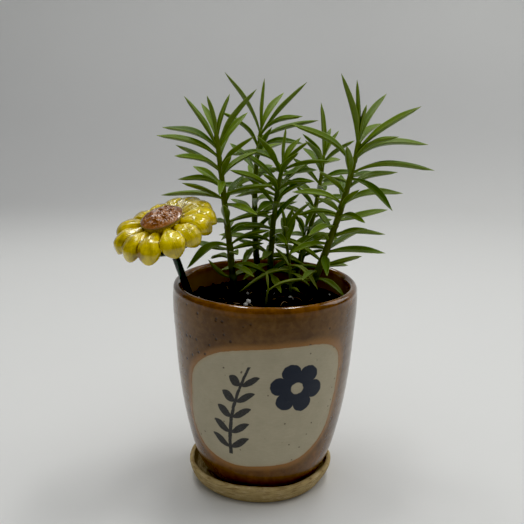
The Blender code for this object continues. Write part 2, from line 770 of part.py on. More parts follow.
def build_calyx():
    """The green backing of the flower and the socket that the stake is glued into, as one body."""
    front, back = HUB_BACK - GAP, HUB_BACK - GAP - CALYX_THICKNESS
    socket = back - SOCKET_LENGTH
    bore = STAKE_RADIUS + GAP
    profile = [
        (0, front),
        (CALYX_RADIUS, front),
        (CALYX_RADIUS + 0.6 * MM, front - 0.8 * MM),
        (CALYX_RADIUS * 0.75, back + 0.4 * MM),
        (SOCKET_RADIUS + 1.6 * MM, back),
        (SOCKET_RADIUS, socket),
        (bore, socket),
        (bore, socket + SOCKET_DEPTH),
        (0, socket + SOCKET_DEPTH),
    ]
    finish = material("calyx_glaze", (0.2, 0.25, 0.16), 0.35)
    place_on_stake(link("flower_calyx", turned(profile, FLOWER_SIDES), finish))


def build_stake():
    """A round rod from its hole in the soil up into the flower's socket."""
    middle, _, _, out = flower_frame()
    top = HUB_BACK - GAP - CALYX_THICKNESS - SOCKET_LENGTH + SOCKET_DEPTH - GAP
    foot = (STAKE_FOOT - middle).dot(out) - STAKE_DEPTH
    profile = [
        (0, foot),
        (STAKE_RADIUS * 0.4, foot),
        (STAKE_RADIUS, foot + 4 * MM),
        (STAKE_RADIUS, top),
        (0, top),
    ]
    stake = link("flower_stake", turned(profile, 12), material("stake_green", (0.01, 0.06, 0.03), 0.3))
    place_on_stake(stake)


def main():
    clear_scene()
    build_saucer()
    build_pot()
    holes = [
        (
            Vector(stem_point(shoot["line"], 0)),
            stem_direction(shoot["line"]),
            shoot["radius"] * MM + HOLE_GAP,
            ROOT_DEPTH + HOLE_SPARE,
        )
        for shoot in SHOOTS.values()
    ]
    holes.append((STAKE_FOOT, STAKE_LEAN, STAKE_RADIUS + HOLE_GAP, STAKE_DEPTH + HOLE_SPARE))
    build_soil(holes)
    build_shoots()
    build_petals()
    build_disc()
    build_calyx()
    build_stake()


main()
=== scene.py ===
# A peperomia in a glazed pot on a clay saucer, with a ceramic flower on a stake: the finished looks.
# Sizes are in metres, and those that say so are in millimetres. The pot's front faces -Y.

import math

import bmesh
import bpy
import numpy as np
from mathutils import Matrix, Vector, noise


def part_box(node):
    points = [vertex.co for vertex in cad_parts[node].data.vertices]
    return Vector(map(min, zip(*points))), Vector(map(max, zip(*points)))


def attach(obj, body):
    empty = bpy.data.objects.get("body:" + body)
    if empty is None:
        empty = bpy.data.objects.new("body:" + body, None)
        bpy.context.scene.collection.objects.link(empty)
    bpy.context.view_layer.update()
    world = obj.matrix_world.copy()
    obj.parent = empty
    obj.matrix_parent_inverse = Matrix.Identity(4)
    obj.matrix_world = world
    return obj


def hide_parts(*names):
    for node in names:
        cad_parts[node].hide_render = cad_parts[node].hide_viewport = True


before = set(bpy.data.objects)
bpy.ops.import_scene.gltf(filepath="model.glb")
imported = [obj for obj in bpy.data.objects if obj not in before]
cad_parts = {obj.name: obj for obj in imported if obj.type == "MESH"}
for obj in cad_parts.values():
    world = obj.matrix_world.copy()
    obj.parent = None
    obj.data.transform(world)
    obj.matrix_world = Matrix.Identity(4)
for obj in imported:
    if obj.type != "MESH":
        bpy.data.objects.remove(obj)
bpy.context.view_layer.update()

mm = 0.001
gap = 0.3 * mm


# Shader maths: sums of wires and numbers add the nodes that work them out

class Wire:
    def __init__(self, tree, socket):
        self.tree = tree
        self.socket = socket

    def node(self, kind, settings=None, sockets=None, out=0):
        made = self.tree.nodes.new(kind)
        for name, value in (settings or {}).items():
            if name == "stops":
                setStops(made.color_ramp, value)
            else:
                setattr(made, name, value)
        for name, value in (sockets or {}).items():
            plugIn(self.tree, made.inputs[name], value)
        return Wire(self.tree, made.outputs[out])

    def __add__(self, other):
        return work("ADD", self, other)

    def __radd__(self, other):
        return work("ADD", other, self)

    def __sub__(self, other):
        return work("SUBTRACT", self, other)

    def __rsub__(self, other):
        return work("SUBTRACT", other, self)

    def __mul__(self, other):
        return work("MULTIPLY", self, other)

    def __rmul__(self, other):
        return work("MULTIPLY", other, self)

    def __truediv__(self, other):
        return work("DIVIDE", self, other)

    def __pow__(self, other):
        return work("POWER", self, other)

    def __mod__(self, other):
        return work("FLOORED_MODULO", self, other)

    def __abs__(self):
        return work("ABSOLUTE", self)

    def __neg__(self):
        return work("MULTIPLY", self, -1)


def work(operation, *terms):
    wires = [term for term in terms if isinstance(term, Wire)]
    numbers = all(wire.socket.type == "VALUE" for wire in wires)
    numbers = numbers and not any(isinstance(term, tuple) for term in terms)
    kind = "ShaderNodeMath" if numbers else "ShaderNodeVectorMath"
    return wires[0].node(kind, {"operation": operation}, dict(enumerate(terms)))


def plugIn(tree, socket, value):
    if isinstance(value, Wire):
        tree.links.new(value.socket, socket)
    elif socket.type == "VALUE" or not isinstance(value, (int, float)):
        wide = socket.type == "RGBA" and len(value) == 3
        socket.default_value = (*value, 1) if wide else value
    else:
        socket.default_value = [value] * len(socket.default_value)


def setStops(ramp, stops):
    while len(ramp.elements) < len(stops):
        ramp.elements.new(0.5)
    for element, (position, colour) in zip(ramp.elements, stops):
        element.position = position
        element.color = (*colour, 1)


def blendColours(first, second, share, how="MIX"):
    settings = {"data_type": "RGBA", "blend_type": how}
    return share.node("ShaderNodeMix", settings, {0: share, 6: first, 7: second}, out=2)


def ease(value, low, high):  # 0 below low, 1 above high, smooth between; low may be the larger
    sockets = {"Value": value, "From Min": low, "From Max": high}
    return value.node("ShaderNodeMapRange", {"interpolation_type": "SMOOTHSTEP"}, sockets)


def grain(place, scale, detail=3, rough=0.55, stir=0.0):
    sockets = {"Vector": place, "Scale": scale, "Detail": detail, "Roughness": rough, "Distortion": stir}
    return place.node("ShaderNodeTexNoise", None, sockets)


def cells(place, scale, out="Distance"):
    return place.node("ShaderNodeTexVoronoi", None, {"Vector": place, "Scale": scale}, out=out)


def apart(place):  # the three parts of a place or a colour
    made = place.node("ShaderNodeSeparateXYZ", None, {"Vector": place})
    outputs = made.socket.node.outputs
    return [Wire(place.tree, outputs[n]) for n in range(3)]


def together(x, y, z):
    wire = next(part for part in (x, y, z) if isinstance(part, Wire))
    return wire.node("ShaderNodeCombineXYZ", None, {0: x, 1: y, 2: z})


def relief(height, depth, strength=1.0, under=None):
    sockets = {"Height": height, "Distance": depth, "Strength": strength}
    if under:
        sockets["Normal"] = under
    return height.node("ShaderNodeBump", None, sockets)


def startMaterial(name):  # a material, its shader and the place on the piece, in millimetres
    made = bpy.data.materials.new(name)
    made.use_nodes = True
    tree = made.node_tree
    place = Wire(tree, tree.nodes.new("ShaderNodeTexCoord").outputs["Object"]) * 1000
    return made, tree.nodes["Principled BSDF"], place


def setShader(shader, values):
    for name, value in values.items():
        plugIn(shader.id_data, shader.inputs[name], value)


def stored(place, name):  # a value that the mesh holds at each of its points
    return place.node("ShaderNodeAttribute", {"attribute_name": name}, None, out="Vector")


def plainMaterial(name, shades, scale, roughness, bump):  # mottled between a dark and a pale shade
    made, shader, place = startMaterial(name)
    mottle = grain(place, scale, 4, 0.65)
    setShader(shader, {
        "Base Color": blendColours(*shades, ease(mottle, 0.35, 0.65)),
        "Roughness": roughness,
        "Normal": relief(mottle, bump, 0.8),
    })
    return made


# Meshes

def makeMesh(name, points, faces):
    mesh = bpy.data.meshes.new(name)
    mesh.from_pydata([tuple(p) for p in points], [], faces)
    mesh.validate()
    mesh.shade_smooth()
    return mesh


def addPiece(name, mesh, material, replaced=None, place=None):
    piece = bpy.data.objects.new(name, mesh)
    bpy.context.scene.collection.objects.link(piece)
    piece.data.materials.append(material)
    if place:
        piece.matrix_world = place
    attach(piece, "root")
    if replaced:
        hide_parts(replaced)
    return piece


def store(mesh, name, rows):  # rows of three numbers, one for each point
    attribute = mesh.attributes.new(name, "FLOAT_VECTOR", "POINT")
    attribute.data.foreach_set("vector", np.asarray(rows, dtype=np.float32).ravel())


def storeNumber(mesh, name, numbers):
    store(mesh, name, [(number, 0, 0) for number in numbers])


def bandFaces(rows, columns, first=0):  # quads between closed rows of points
    faces = []
    for row in range(rows - 1):
        for column in range(columns):
            a = first + row * columns + column
            b = first + row * columns + (column + 1) % columns
            faces.append((a, b, b + columns, a + columns))
    return faces


def tubeFaces(rows, columns, first=0):  # the same, with one face over each end
    start = tuple(first + n for n in reversed(range(columns)))
    end = tuple(first + (rows - 1) * columns + n for n in range(columns))
    return bandFaces(rows, columns, first) + [start, end]


def smoothLine(points, step):  # a curve through the points, read about every step
    points = [np.array(p, float) for p in points]
    ends = [2 * points[0] - points[1]] + points + [2 * points[-1] - points[-2]]
    line = []
    for before, start, end, after in zip(ends, ends[1:], ends[2:], ends[3:]):
        count = max(1, round(np.linalg.norm(end - start) / step))
        for n in range(count):
            t = n / count
            slope = (end - before) * t
            bow = (2 * before - 5 * start + 4 * end - after) * t**2
            twist = (3 * start - before - 3 * end + after) * t**3
            line.append(0.5 * (2 * start + slope + bow + twist))
    return line + [points[-1]]


def turned(profile, sides):  # a profile of (radius, height) spun round Z, and closed at its ends
    points = []
    for radius, height in profile:
        for n in range(sides):
            turn = math.tau * n / sides
            points.append((radius * math.cos(turn), radius * math.sin(turn), height))
    faces = bandFaces(len(profile), sides)
    for ring in (0, len(profile) - 1):
        if profile[ring][0] >= 0.05 * mm:
            faces.append(tuple(ring * sides + n for n in range(sides)))
    return np.array(points), faces


def faceOut(mesh):  # joins doubled points and turns every face outwards
    loose = bmesh.new()
    loose.from_mesh(mesh)
    bmesh.ops.remove_doubles(loose, verts=loose.verts, dist=0.01 * mm)
    bmesh.ops.recalc_face_normals(loose, faces=loose.faces)
    loose.to_mesh(mesh)
    loose.free()
    mesh.shade_smooth()


# Saucer: one slab of clay, pinched up at its edge

saucer = {
    "footRadius": 34.8 * mm,
    "radius": 39.8 * mm,
    "height": 11.3 * mm,
    "floor": 4.5 * mm,
    "rim": 2.6 * mm,
    "offset": -1.3 * mm,
    "sides": 200,
    "tan": (0.5, 0.37, 0.16),
    "pale": (0.72, 0.58, 0.33),
    "brown": (0.25, 0.15, 0.05),
}


def saucerMaterial():
    made, shader, place = startMaterial("brushedClay")
    x, y, z = apart(place)
    around = work("ARCTAN2", y, x)
    away = work("SQRT", x * x + y * y)
    brushed = together(work("COSINE", around) * 5, work("SINE", around) * 5, z * 1.5 + away * 1.1)
    streaks = grain(brushed, 1.2, 6, 0.65)
    blotches = grain(place, 0.16, 4, 0.6)
    fine = grain(place, 2.2, 3, 0.6)
    colour = blendColours(saucer["brown"], saucer["tan"], ease(streaks, 0.33, 0.52))
    colour = blendColours(colour, saucer["pale"], ease(streaks * 0.7 + blotches * 0.4, 0.56, 0.74))
    pocks = ease(cells(place, 0.34), 0.16, 0.05) * ease(fine, 0.5, 0.62)
    colour = blendColours(colour, saucer["brown"], pocks * 0.6)
    height = streaks * 0.8 + fine * 0.25 + blotches * 0.3
    setShader(shader, {
        "Base Color": colour,
        "Roughness": 0.72 + 0.2 * fine,
        "Normal": relief(height, 0.0009, 0.9),
        "Specular IOR Level": 0.35,
    })
    return made


def buildSaucer():
    radius, height, rim = saucer["radius"], saucer["height"], saucer["rim"]
    inner = radius - rim
    outline = [
        (saucer["footRadius"] - 1.2 * mm, 0),
        (saucer["footRadius"], 1.0 * mm),
        (radius - 1.5 * mm, 0.5 * height),
        (radius, height - 1.4 * mm),
        (radius - 0.6 * mm, height - 0.1 * mm),
        (inner + 0.5 * mm, height),
        (inner, height - 0.8 * mm),
        (inner - 1.0 * mm, 0.55 * height),
        (inner - 2.8 * mm, saucer["floor"]),
    ]
    line = [(0.0, 0.0)] + [tuple(p) for p in smoothLine(outline, 0.55 * mm)] + [(0.0, saucer["floor"])]
    points, faces = turned(line, saucer["sides"])
    for point in points:  # the edge waves and dents where fingers pinched it
        turn = math.atan2(point[1], point[0])
        away = math.hypot(point[0], point[1])
        if away > 1 * mm:
            spot = Vector((math.cos(turn) * 2.2, math.sin(turn) * 2.2, point[2] / mm * 0.16))
            dent = noise.noise(spot * 1.6) * 0.45 + noise.noise(spot * 5) * 0.16
            rise = max(0.0, (point[2] - saucer["floor"]) / (height - saucer["floor"]))
            if away > inner - 1.5 * mm:
                swell = 0.5 * math.sin(2 * turn + 0.6) + 0.3 * math.sin(5 * turn + 1.0) + dent
                point[:2] *= 1 + swell * mm / radius
            wave = 0.35 * math.sin(3 * turn + 2.0) + 0.2 * math.sin(7 * turn) + 0.6 * dent
            point[2] += rise * mm * wave
        point[0] += saucer["offset"]
    mesh = makeMesh("saucerMesh", points, faces)
    faceOut(mesh)
    addPiece("saucer_clay", mesh, saucerMaterial(), "saucer")
    print("saucer made")


# Pot: brown glaze, with a bare cream panel in front that carries a brushed sprig and a navy blossom

pot = {  # millimetres
    "foot": 4.8,
    "top": 114.5,
    "radius": 50.0,
    "outside": [
        (28.4, 4.8), (30.8, 6.2), (34.0, 10.6), (36.9, 17.0), (40.1, 27.0), (44.2, 46.0), (47.0, 66.0),
        (48.6, 85.0), (49.8, 101.0),
    ],
    "wall": 4.8,
    "floor": 11.0,
    "recess": 1.4,
    "footRing": 4.2,
    "drain": 7.0,
    "lipDrop": 4.0,
    "lipTurns": (20, 36, 52, 70, 90, 110, 128, 144, 160),
    "sides": 192,
    "wobble": 0.18,
    "ridge": 0.04,
    "brown": ((0.095, 0.04, 0.006), (0.19, 0.092, 0.02)),  # the dark and the pale shade
    "amber": ((0.1, 0.034, 0.001), (0.22, 0.082, 0.006)),
    "halo": (0.36, 0.17, 0.045),  # thin glaze round the panel
    "haloWidth": 4.6,
    # painted light: a paler glaze inside the rim, as if lit from above
    "inside": (0.34, 0.2, 0.09),
    "shade": (0.045, 0.016, 0.001),  # painted shade at the foot, where the pot turns under towards the saucer
    "pit": (0.03, 0.011, 0.0),
    "pitsAt": (-32, 98),  # where most of the pits are, across and up
}

panel = {  # millimetres: across is measured round the pot from its front
    "round": 46.5,  # the pot's radius by which it is measured
    "middle": (-1.3, 58.5),
    "half": (42.8, 34.5),
    "squareness": 3.2,
    "lean": 0.13,  # how far its left and right edges lean over to the right
    "tilt": 0.1,  # how far its top edge rises to the right
    "blossomMiddle": (17.0, 71.0),
    "blossomRadius": 14.0,
    "blossomPetals": 6,
    "blossomHeart": 3.2,
    "sprigFoot": (-19.0, 31.0),
    "sprigHeight": 52.0,
    "sprigBend": 12.0,
    "leafSpacing": 9.4,
    "leafPairs": 5,
    "leafLength": 14.0,
    "leafWidth": 2.5,
    "stroke": 0.9,
    "cream": ((0.35, 0.305, 0.205), (0.585, 0.525, 0.375)),
    "speck": (0.08, 0.06, 0.04),
    "stain": (0.5, 0.33, 0.16),
    "ink": ((0.012, 0.013, 0.015), (0.055, 0.056, 0.06)),
    "navy": ((0.008, 0.012, 0.024), (0.016, 0.024, 0.045)),
}


def sprigMask(u, v, wave):  # a brushed stem with pairs of leaves, repeated up the stem
    up = v - panel["sprigFoot"][1]
    share = up / panel["sprigHeight"]
    aside = u - panel["sprigFoot"][0] - share * share * panel["sprigBend"] + wave
    inside = ease(up, -0.6, 0.0) * ease(up, panel["sprigHeight"] + 0.4, panel["sprigHeight"])
    stem = ease(abs(aside) - panel["stroke"] * (1.25 - 0.6 * share), 0.25, -0.1) * inside
    length = panel["leafLength"] * (1.05 - 0.42 * share)
    row = up - abs(aside) * 0.62
    off = row % panel["leafSpacing"] - panel["leafSpacing"] * 0.42
    along = abs(aside) / (length * 0.82)
    bulge = panel["leafWidth"] * (1 - (along * 2 - 1) ** 2)
    leaves = ease(abs(off) - bulge, 0.3, -0.15) * ease(along, 1.0, 0.96)
    last = panel["leafSpacing"] * panel["leafPairs"]
    leaves = leaves * ease(row, 0.4, 0.8) * ease(row, last, last - 0.4)
    return work("MAXIMUM", stem, leaves)


def blossomMask(u, v, wave):  # a round of blunt petals with an open middle
    x, y = u - panel["blossomMiddle"][0], v - panel["blossomMiddle"][1]
    away = (x ** 2 + y ** 2) ** 0.5
    turn = work("ARCTAN2", y, x) * (panel["blossomPetals"] / 2) + 0.5
    reach = panel["blossomRadius"] * (0.66 + 0.34 * abs(work("COSINE", turn)) ** 0.55)
    heart = ease(away + wave, panel["blossomHeart"] - 0.25, panel["blossomHeart"] + 0.25)
    return ease(away + wave - reach, 0.25, -0.25) * heart


def potMaterial():
    made, shader, place = startMaterial("brownGlaze")
    outside = apart(stored(place, "side"))[0]
    x, y, z = apart(place)
    across = work("ARCTAN2", x, -y) * panel["round"]
    top = pot["top"]

    # the panel's edge, as a distance in millimetres
    u = across - panel["middle"][0] - (z - panel["middle"][1]) * panel["lean"]
    v = z - panel["middle"][1] - u * panel["tilt"] * ease(z, 40, 90)
    power = panel["squareness"]
    out = ((abs(u) / panel["half"][0]) ** power + (abs(v) / panel["half"][1]) ** power) ** (1 / power)
    edge = (out - 1) * 36 + (grain(place, 0.03, 1) - 0.5) * 4 + (grain(place, 0.3, 2) - 0.5) * 0.6
    bare = ease(edge, 0.25, -0.25) * outside
    thin = ease(edge, pot["haloWidth"], 0.6) * outside

    # the glaze: amber at the lip, at the foot and where it ran, brown between them
    clouds = grain(place, 0.035, 4, 0.6)
    drips = grain(together(x * 0.12, y * 0.12, z * 0.03), 1.0, 4, 0.55)
    fine = grain(place, 1.3, 4, 0.6)
    curdle = grain(place, 0.3, 4, 0.6, 0.4)
    lip = ease(z, top - 9, top - 2) + (1 - outside) * 0.5
    low = ease(z, 50, 14) * outside
    brown = blendColours(*pot["brown"], ease(clouds * 0.6 + curdle * 0.4, 0.36, 0.64))
    amber = blendColours(*pot["amber"], ease(drips * 0.6 + curdle * 0.4, 0.36, 0.64))
    ran = lip * 0.8 + low * 0.75 + (drips - 0.5) * 1.1 + (curdle - 0.5) * 0.3
    glaze = blendColours(brown, amber, ease(ran, 0.2, 1.0))
    glaze = blendColours(glaze, pot["halo"], thin * (0.5 + 0.5 * fine))
    # painted light: the inside of the rim made paler, as if lit
    glaze = blendColours(glaze, pot["inside"], (1 - outside) * ease(z, top - 1, top - 6) * 0.8)
    # painted shade: the glaze darkens towards the foot
    glaze = blendColours(glaze, pot["shade"], ease(z, 25, 7) * outside * 0.65)
    pitChance, crumbChance, _ = apart(cells(place, 0.3, "Color"))
    pitsAway = ((across - pot["pitsAt"][0]) ** 2 * 0.3 + (z - pot["pitsAt"][1]) ** 2) ** 0.5
    pitted = ease(pitsAway + (clouds - 0.5) * 20, 13, 5) * 0.5
    pits = ease(cells(place, 0.3), 0.3, 0.16) * ease(pitChance + pitted, 0.86, 0.92) * (1 - low) * outside
    glaze = blendColours(glaze, pot["pit"], pits * 0.85)

    # the panel: chalky cream with specks of grit, and the sprig and the blossom on it
    brushed = grain(together(x * 0.5, y * 0.5, z * 4), 0.6, 4, 0.6)
    chalk = blendColours(*panel["cream"], grain(place, 0.12, 5, 0.65) * 0.55 + brushed * 0.45)
    crumbs = ease(cells(place, 0.3), 0.19, 0.09) * ease(crumbChance, 0.78, 0.82)
    chalk = blendColours(chalk, panel["speck"], crumbs * 0.8)
    chalk = blendColours(chalk, panel["stain"], ease(edge, -2.0, -0.2) * 0.22)
    wave = (grain(place, 0.35, 2) - 0.5) * 1.1
    sprig = sprigMask(across, z, wave)
    blossom = blossomMask(across, z, wave)
    bristles = grain(together(x * 0.9, y * 0.9, z * 2.6), 1.2, 4, 0.7)
    ink = blendColours(*panel["ink"], ease(bristles, 0.42, 0.72))
    navy = blendColours(*panel["navy"], bristles)
    drawn = blendColours(blendColours(chalk, ink, sprig * 0.96), navy, blossom)
    painted = work("MAXIMUM", sprig, blossom) * bare

    throwing = grain(together(x * 0.02, y * 0.02, z), 0.35, 3, 0.5)
    height = throwing * 0.35 + (grain(place, 0.5, 2) * 0.2 + curdle * 0.12) * (1 - bare)
    height = height + (fine * 0.06 + brushed * 0.12) * bare
    height = height + (1 - bare) * 0.4 - pits * 0.5 - crumbs * bare * 0.3 + painted * 0.12
    setShader(shader, {
        "Base Color": blendColours(glaze, drawn, bare),
        "Roughness": 0.12 + 0.1 * curdle + bare * (0.42 - 0.2 * painted) + 0.04 * fine,
        "Normal": relief(height, 0.0006, 0.55),
        "Specular IOR Level": 0.34,
        "Coat Weight": (0.12 + 0.88 * ease(z, top - 5, top - 1.5)) * (1 - bare),
        "Coat Roughness": 0.04,
    })
    return made


def potOutline():
    radius, wall, top = pot["radius"], pot["wall"], pot["top"]
    half = wall / 2
    lip = []
    for degrees in pot["lipTurns"]:
        turn = math.radians(degrees)
        lip.append((radius - half + half * math.cos(turn), top - pot["lipDrop"] * (1 - math.sin(turn))))
    inside = [(r - wall, z) for r, z in reversed(pot["outside"][4:])]
    inside += [(31.2, 17.5), (27.5, pot["floor"] + 1.6), (24.0, pot["floor"])]  # rounds into the floor
    ring = pot["outside"][0][0] - pot["footRing"]
    recess = pot["foot"] + pot["recess"]
    base = [(pot["drain"], pot["floor"]), (pot["drain"], recess), (ring - 0.8, recess), (ring, pot["foot"])]
    outer = smoothLine(pot["outside"] + lip[:1], 1.6)
    inner = smoothLine(lip[-1:] + inside, 1.8)
    return outer, [np.array(p) for p in lip[1:-1]], inner, [np.array(p) for p in base]


def buildPot():
    outer, lip, inner, base = potOutline()
    line = outer + lip + inner + base + [outer[0]]
    profile = [(p[0] * mm, p[1] * mm) for p in line]
    side = [1.0] * len(outer) + [max(0.0, 1 - 0.25 * n) for n in range(len(lip))]  # 1 outside, 0 inside
    side += [0.0] * (len(inner) + len(base)) + [1.0]
    points, _ = turned(profile, pot["sides"])
    faces = bandFaces(len(profile), pot["sides"])
    for n, point in enumerate(points):
        turn = math.atan2(point[1], point[0])
        share = point[2] / (pot["top"] * mm)
        waver = math.sin(2 * turn + 1 + share * 3) + 0.6 * math.sin(3 * turn + 2 - share * 4)
        ridge = math.sin(point[2] / mm * 0.9 + 0.4 * math.sin(turn)) * pot["ridge"]
        point[:2] *= 1 + (pot["wobble"] * waver * share + ridge) / pot["radius"]
    mesh = makeMesh("potMesh", points, faces)
    storeNumber(mesh, "side", [side[n // pot["sides"]] for n in range(len(points))])
    faceOut(mesh)
    addPiece("pot_glazed", mesh, potMaterial(), "pot")
    print("pot made")


# Soil: black potting mix with perlite and bits of fibre

soil = {
    "edge": 101.6 * mm,
    "mound": 1.6 * mm,
    "lump": 0.5 * mm,
    "level": 103.0 * mm,
    "sides": 168,
    "rings": 64,
    "crumbs": 520,
    "perlite": 30,
    "fibres": 40,
    "seed": 11,
    "black": ((0.001, 0.0008, 0.0006), (0.006, 0.004, 0.0025)),
    "bark": (0.03, 0.02, 0.01),
    "white": ((0.36, 0.36, 0.34), (0.72, 0.72, 0.7)),
    "straw": ((0.09, 0.055, 0.025), (0.3, 0.21, 0.11)),
}


def soilHeight(x, y):
    share = min(1.0, math.hypot(x, y) / ((pot["radius"] - pot["wall"]) * mm))
    lumps = math.sin(x / (3.1 * mm) + 1) * math.sin(y / (3.7 * mm)) + 0.6 * math.sin((x + y) / (2.1 * mm))
    return soil["edge"] + soil["mound"] * (1 - share**2) + soil["lump"] * lumps * (1 - share**4)


def soilMaterial():
    made, shader, place = startMaterial("pottingMix")
    coarse = grain(place, 0.5, 5, 0.7)
    fine = grain(place, 2.4, 4, 0.7)
    colour = blendColours(*soil["black"], ease(coarse, 0.4, 0.7))
    colour = blendColours(colour, soil["bark"], ease(fine, 0.66, 0.78) * 0.5)
    setShader(shader, {
        "Base Color": colour,
        "Roughness": 0.7 + 0.25 * fine,
        "Normal": relief(coarse + fine * 0.5, 0.0012, 0.9),
        "Specular IOR Level": 0.12,
    })
    return made


def lumpsMesh(name, count, sizes, reach, sink, random):  # broken crumbs, strewn over the soil
    ball = bmesh.new()
    bmesh.ops.create_icosphere(ball, subdivisions=2, radius=1)
    shape = np.array([v.co for v in ball.verts])
    corners = [tuple(v.index for v in face.verts) for face in ball.faces]
    ball.free()
    points, faces = [], []
    for n in range(count):
        size = sizes[0] + (sizes[1] - sizes[0]) * random.random() ** 2
        away, turn = reach * math.sqrt(random.random()), random.random() * math.tau
        x, y = away * math.cos(turn), away * math.sin(turn)
        stretch = random.uniform(0.6, 1.25, 3)
        rough = np.array([1 + 0.38 * noise.noise(Vector(p * 1.7 + n * 3.1)) for p in shape])
        spin = np.array(Matrix.Rotation(random.random() * math.tau, 3, Vector(random.uniform(-1, 1, 3))))
        centre = np.array([x, y, soilHeight(x, y) + size * sink])
        faces += [tuple(corner + len(points) for corner in face) for face in corners]
        points += list((shape * rough[:, None] * stretch * size) @ spin + centre)
    return makeMesh(name, points, faces)


def strandMesh(name, strands, sides=6):  # tapered threads: each is (line, radius)
    points, faces = [], []
    for line, radius in strands:
        first = len(points)
        for n, spot in enumerate(line):
            way = line[min(n + 1, len(line) - 1)] - line[max(n - 1, 0)]
            across = np.cross(way, (0.1, 0.2, 1.0))
            across /= np.linalg.norm(across)
            up = np.cross(across, way / np.linalg.norm(way))
            thick = radius * math.sqrt(max(0.05, math.sin(math.pi * (n + 0.4) / (len(line) - 0.2))))
            for side in range(sides):
                turn = math.tau * side / sides
                points.append(spot + (across * math.cos(turn) + up * math.sin(turn)) * thick)
        faces += bandFaces(len(line), sides, first)
        faces.append(tuple(first + side for side in range(sides)))
        faces.append(tuple(len(points) - 1 - side for side in range(sides)))
    return makeMesh(name, points, faces)


def fibreLines(count, reach, random):
    strands = []
    for _ in range(count):
        away, turn = reach * math.sqrt(random.random()), random.random() * math.tau
        x, y = away * math.cos(turn), away * math.sin(turn)
        heading, bend = random.random() * math.tau, random.uniform(-0.35, 0.35)
        length, lift = random.uniform(4, 11) * mm, random.uniform(0.1, 1.3) * mm
        line = []
        for n in range(9):
            line.append(np.array([x, y, soilHeight(x, y) + 0.3 * mm + lift * math.sin(math.pi * n / 8)]))
            x += math.cos(heading) * length / 8
            y += math.sin(heading) * length / 8
            heading += bend
        if max(math.hypot(p[0], p[1]) for p in line) < reach:
            strands.append((line, random.uniform(0.12, 0.3) * mm))
    return strands


def buildSoil():
    random = np.random.default_rng(soil["seed"])
    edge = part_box("soil")[1][0]
    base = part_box("soil")[0][2]
    profile = [(edge * n / soil["rings"], soil["edge"]) for n in range(soil["rings"] + 1)]
    wall = [(r - pot["wall"] - 0.3, z) for r, z in reversed(pot["outside"][4:-1])]
    wall += [(31.0, 17.5), (27.2, pot["floor"] + 1.9)]
    profile += [(r * mm, z * mm) for r, z in wall] + [(0.0, base)]
    points, faces = turned(profile, soil["sides"])
    for point in points[:(soil["rings"] + 1) * soil["sides"]]:
        share = math.hypot(point[0], point[1]) / edge
        spot = Vector(point) / mm
        rough = noise.noise(spot * 0.45) * 0.7 + noise.noise(spot * 1.1) * 0.45
        point[2] = soilHeight(point[0], point[1]) + rough * mm * (1 - share**6)
    mesh = makeMesh("soilMesh", points, faces)
    faceOut(mesh)
    mix = soilMaterial()
    addPiece("soil_mix", mesh, mix, "soil")
    reach = edge - 1.6 * mm
    crumbs = lumpsMesh("crumbMesh", soil["crumbs"], (0.5 * mm, 1.9 * mm), reach, 0.25, random)
    addPiece("soil_crumbs", crumbs, mix)
    white = plainMaterial("perlite", soil["white"], 1.4, 0.85, 0.0006)
    stones = lumpsMesh("perliteMesh", soil["perlite"], (0.5 * mm, 1.5 * mm), reach, 0.45, random)
    addPiece("perlite", stones, white)
    straw = plainMaterial("fibre", soil["straw"], 0.6, 0.8, 0.0003)
    threads = strandMesh("fibreMesh", fibreLines(soil["fibres"], reach, random))
    addPiece("fibres", threads, straw)
    print("soil made")


# Shoots: stems with fleshy leaves, which stand as in the part's source

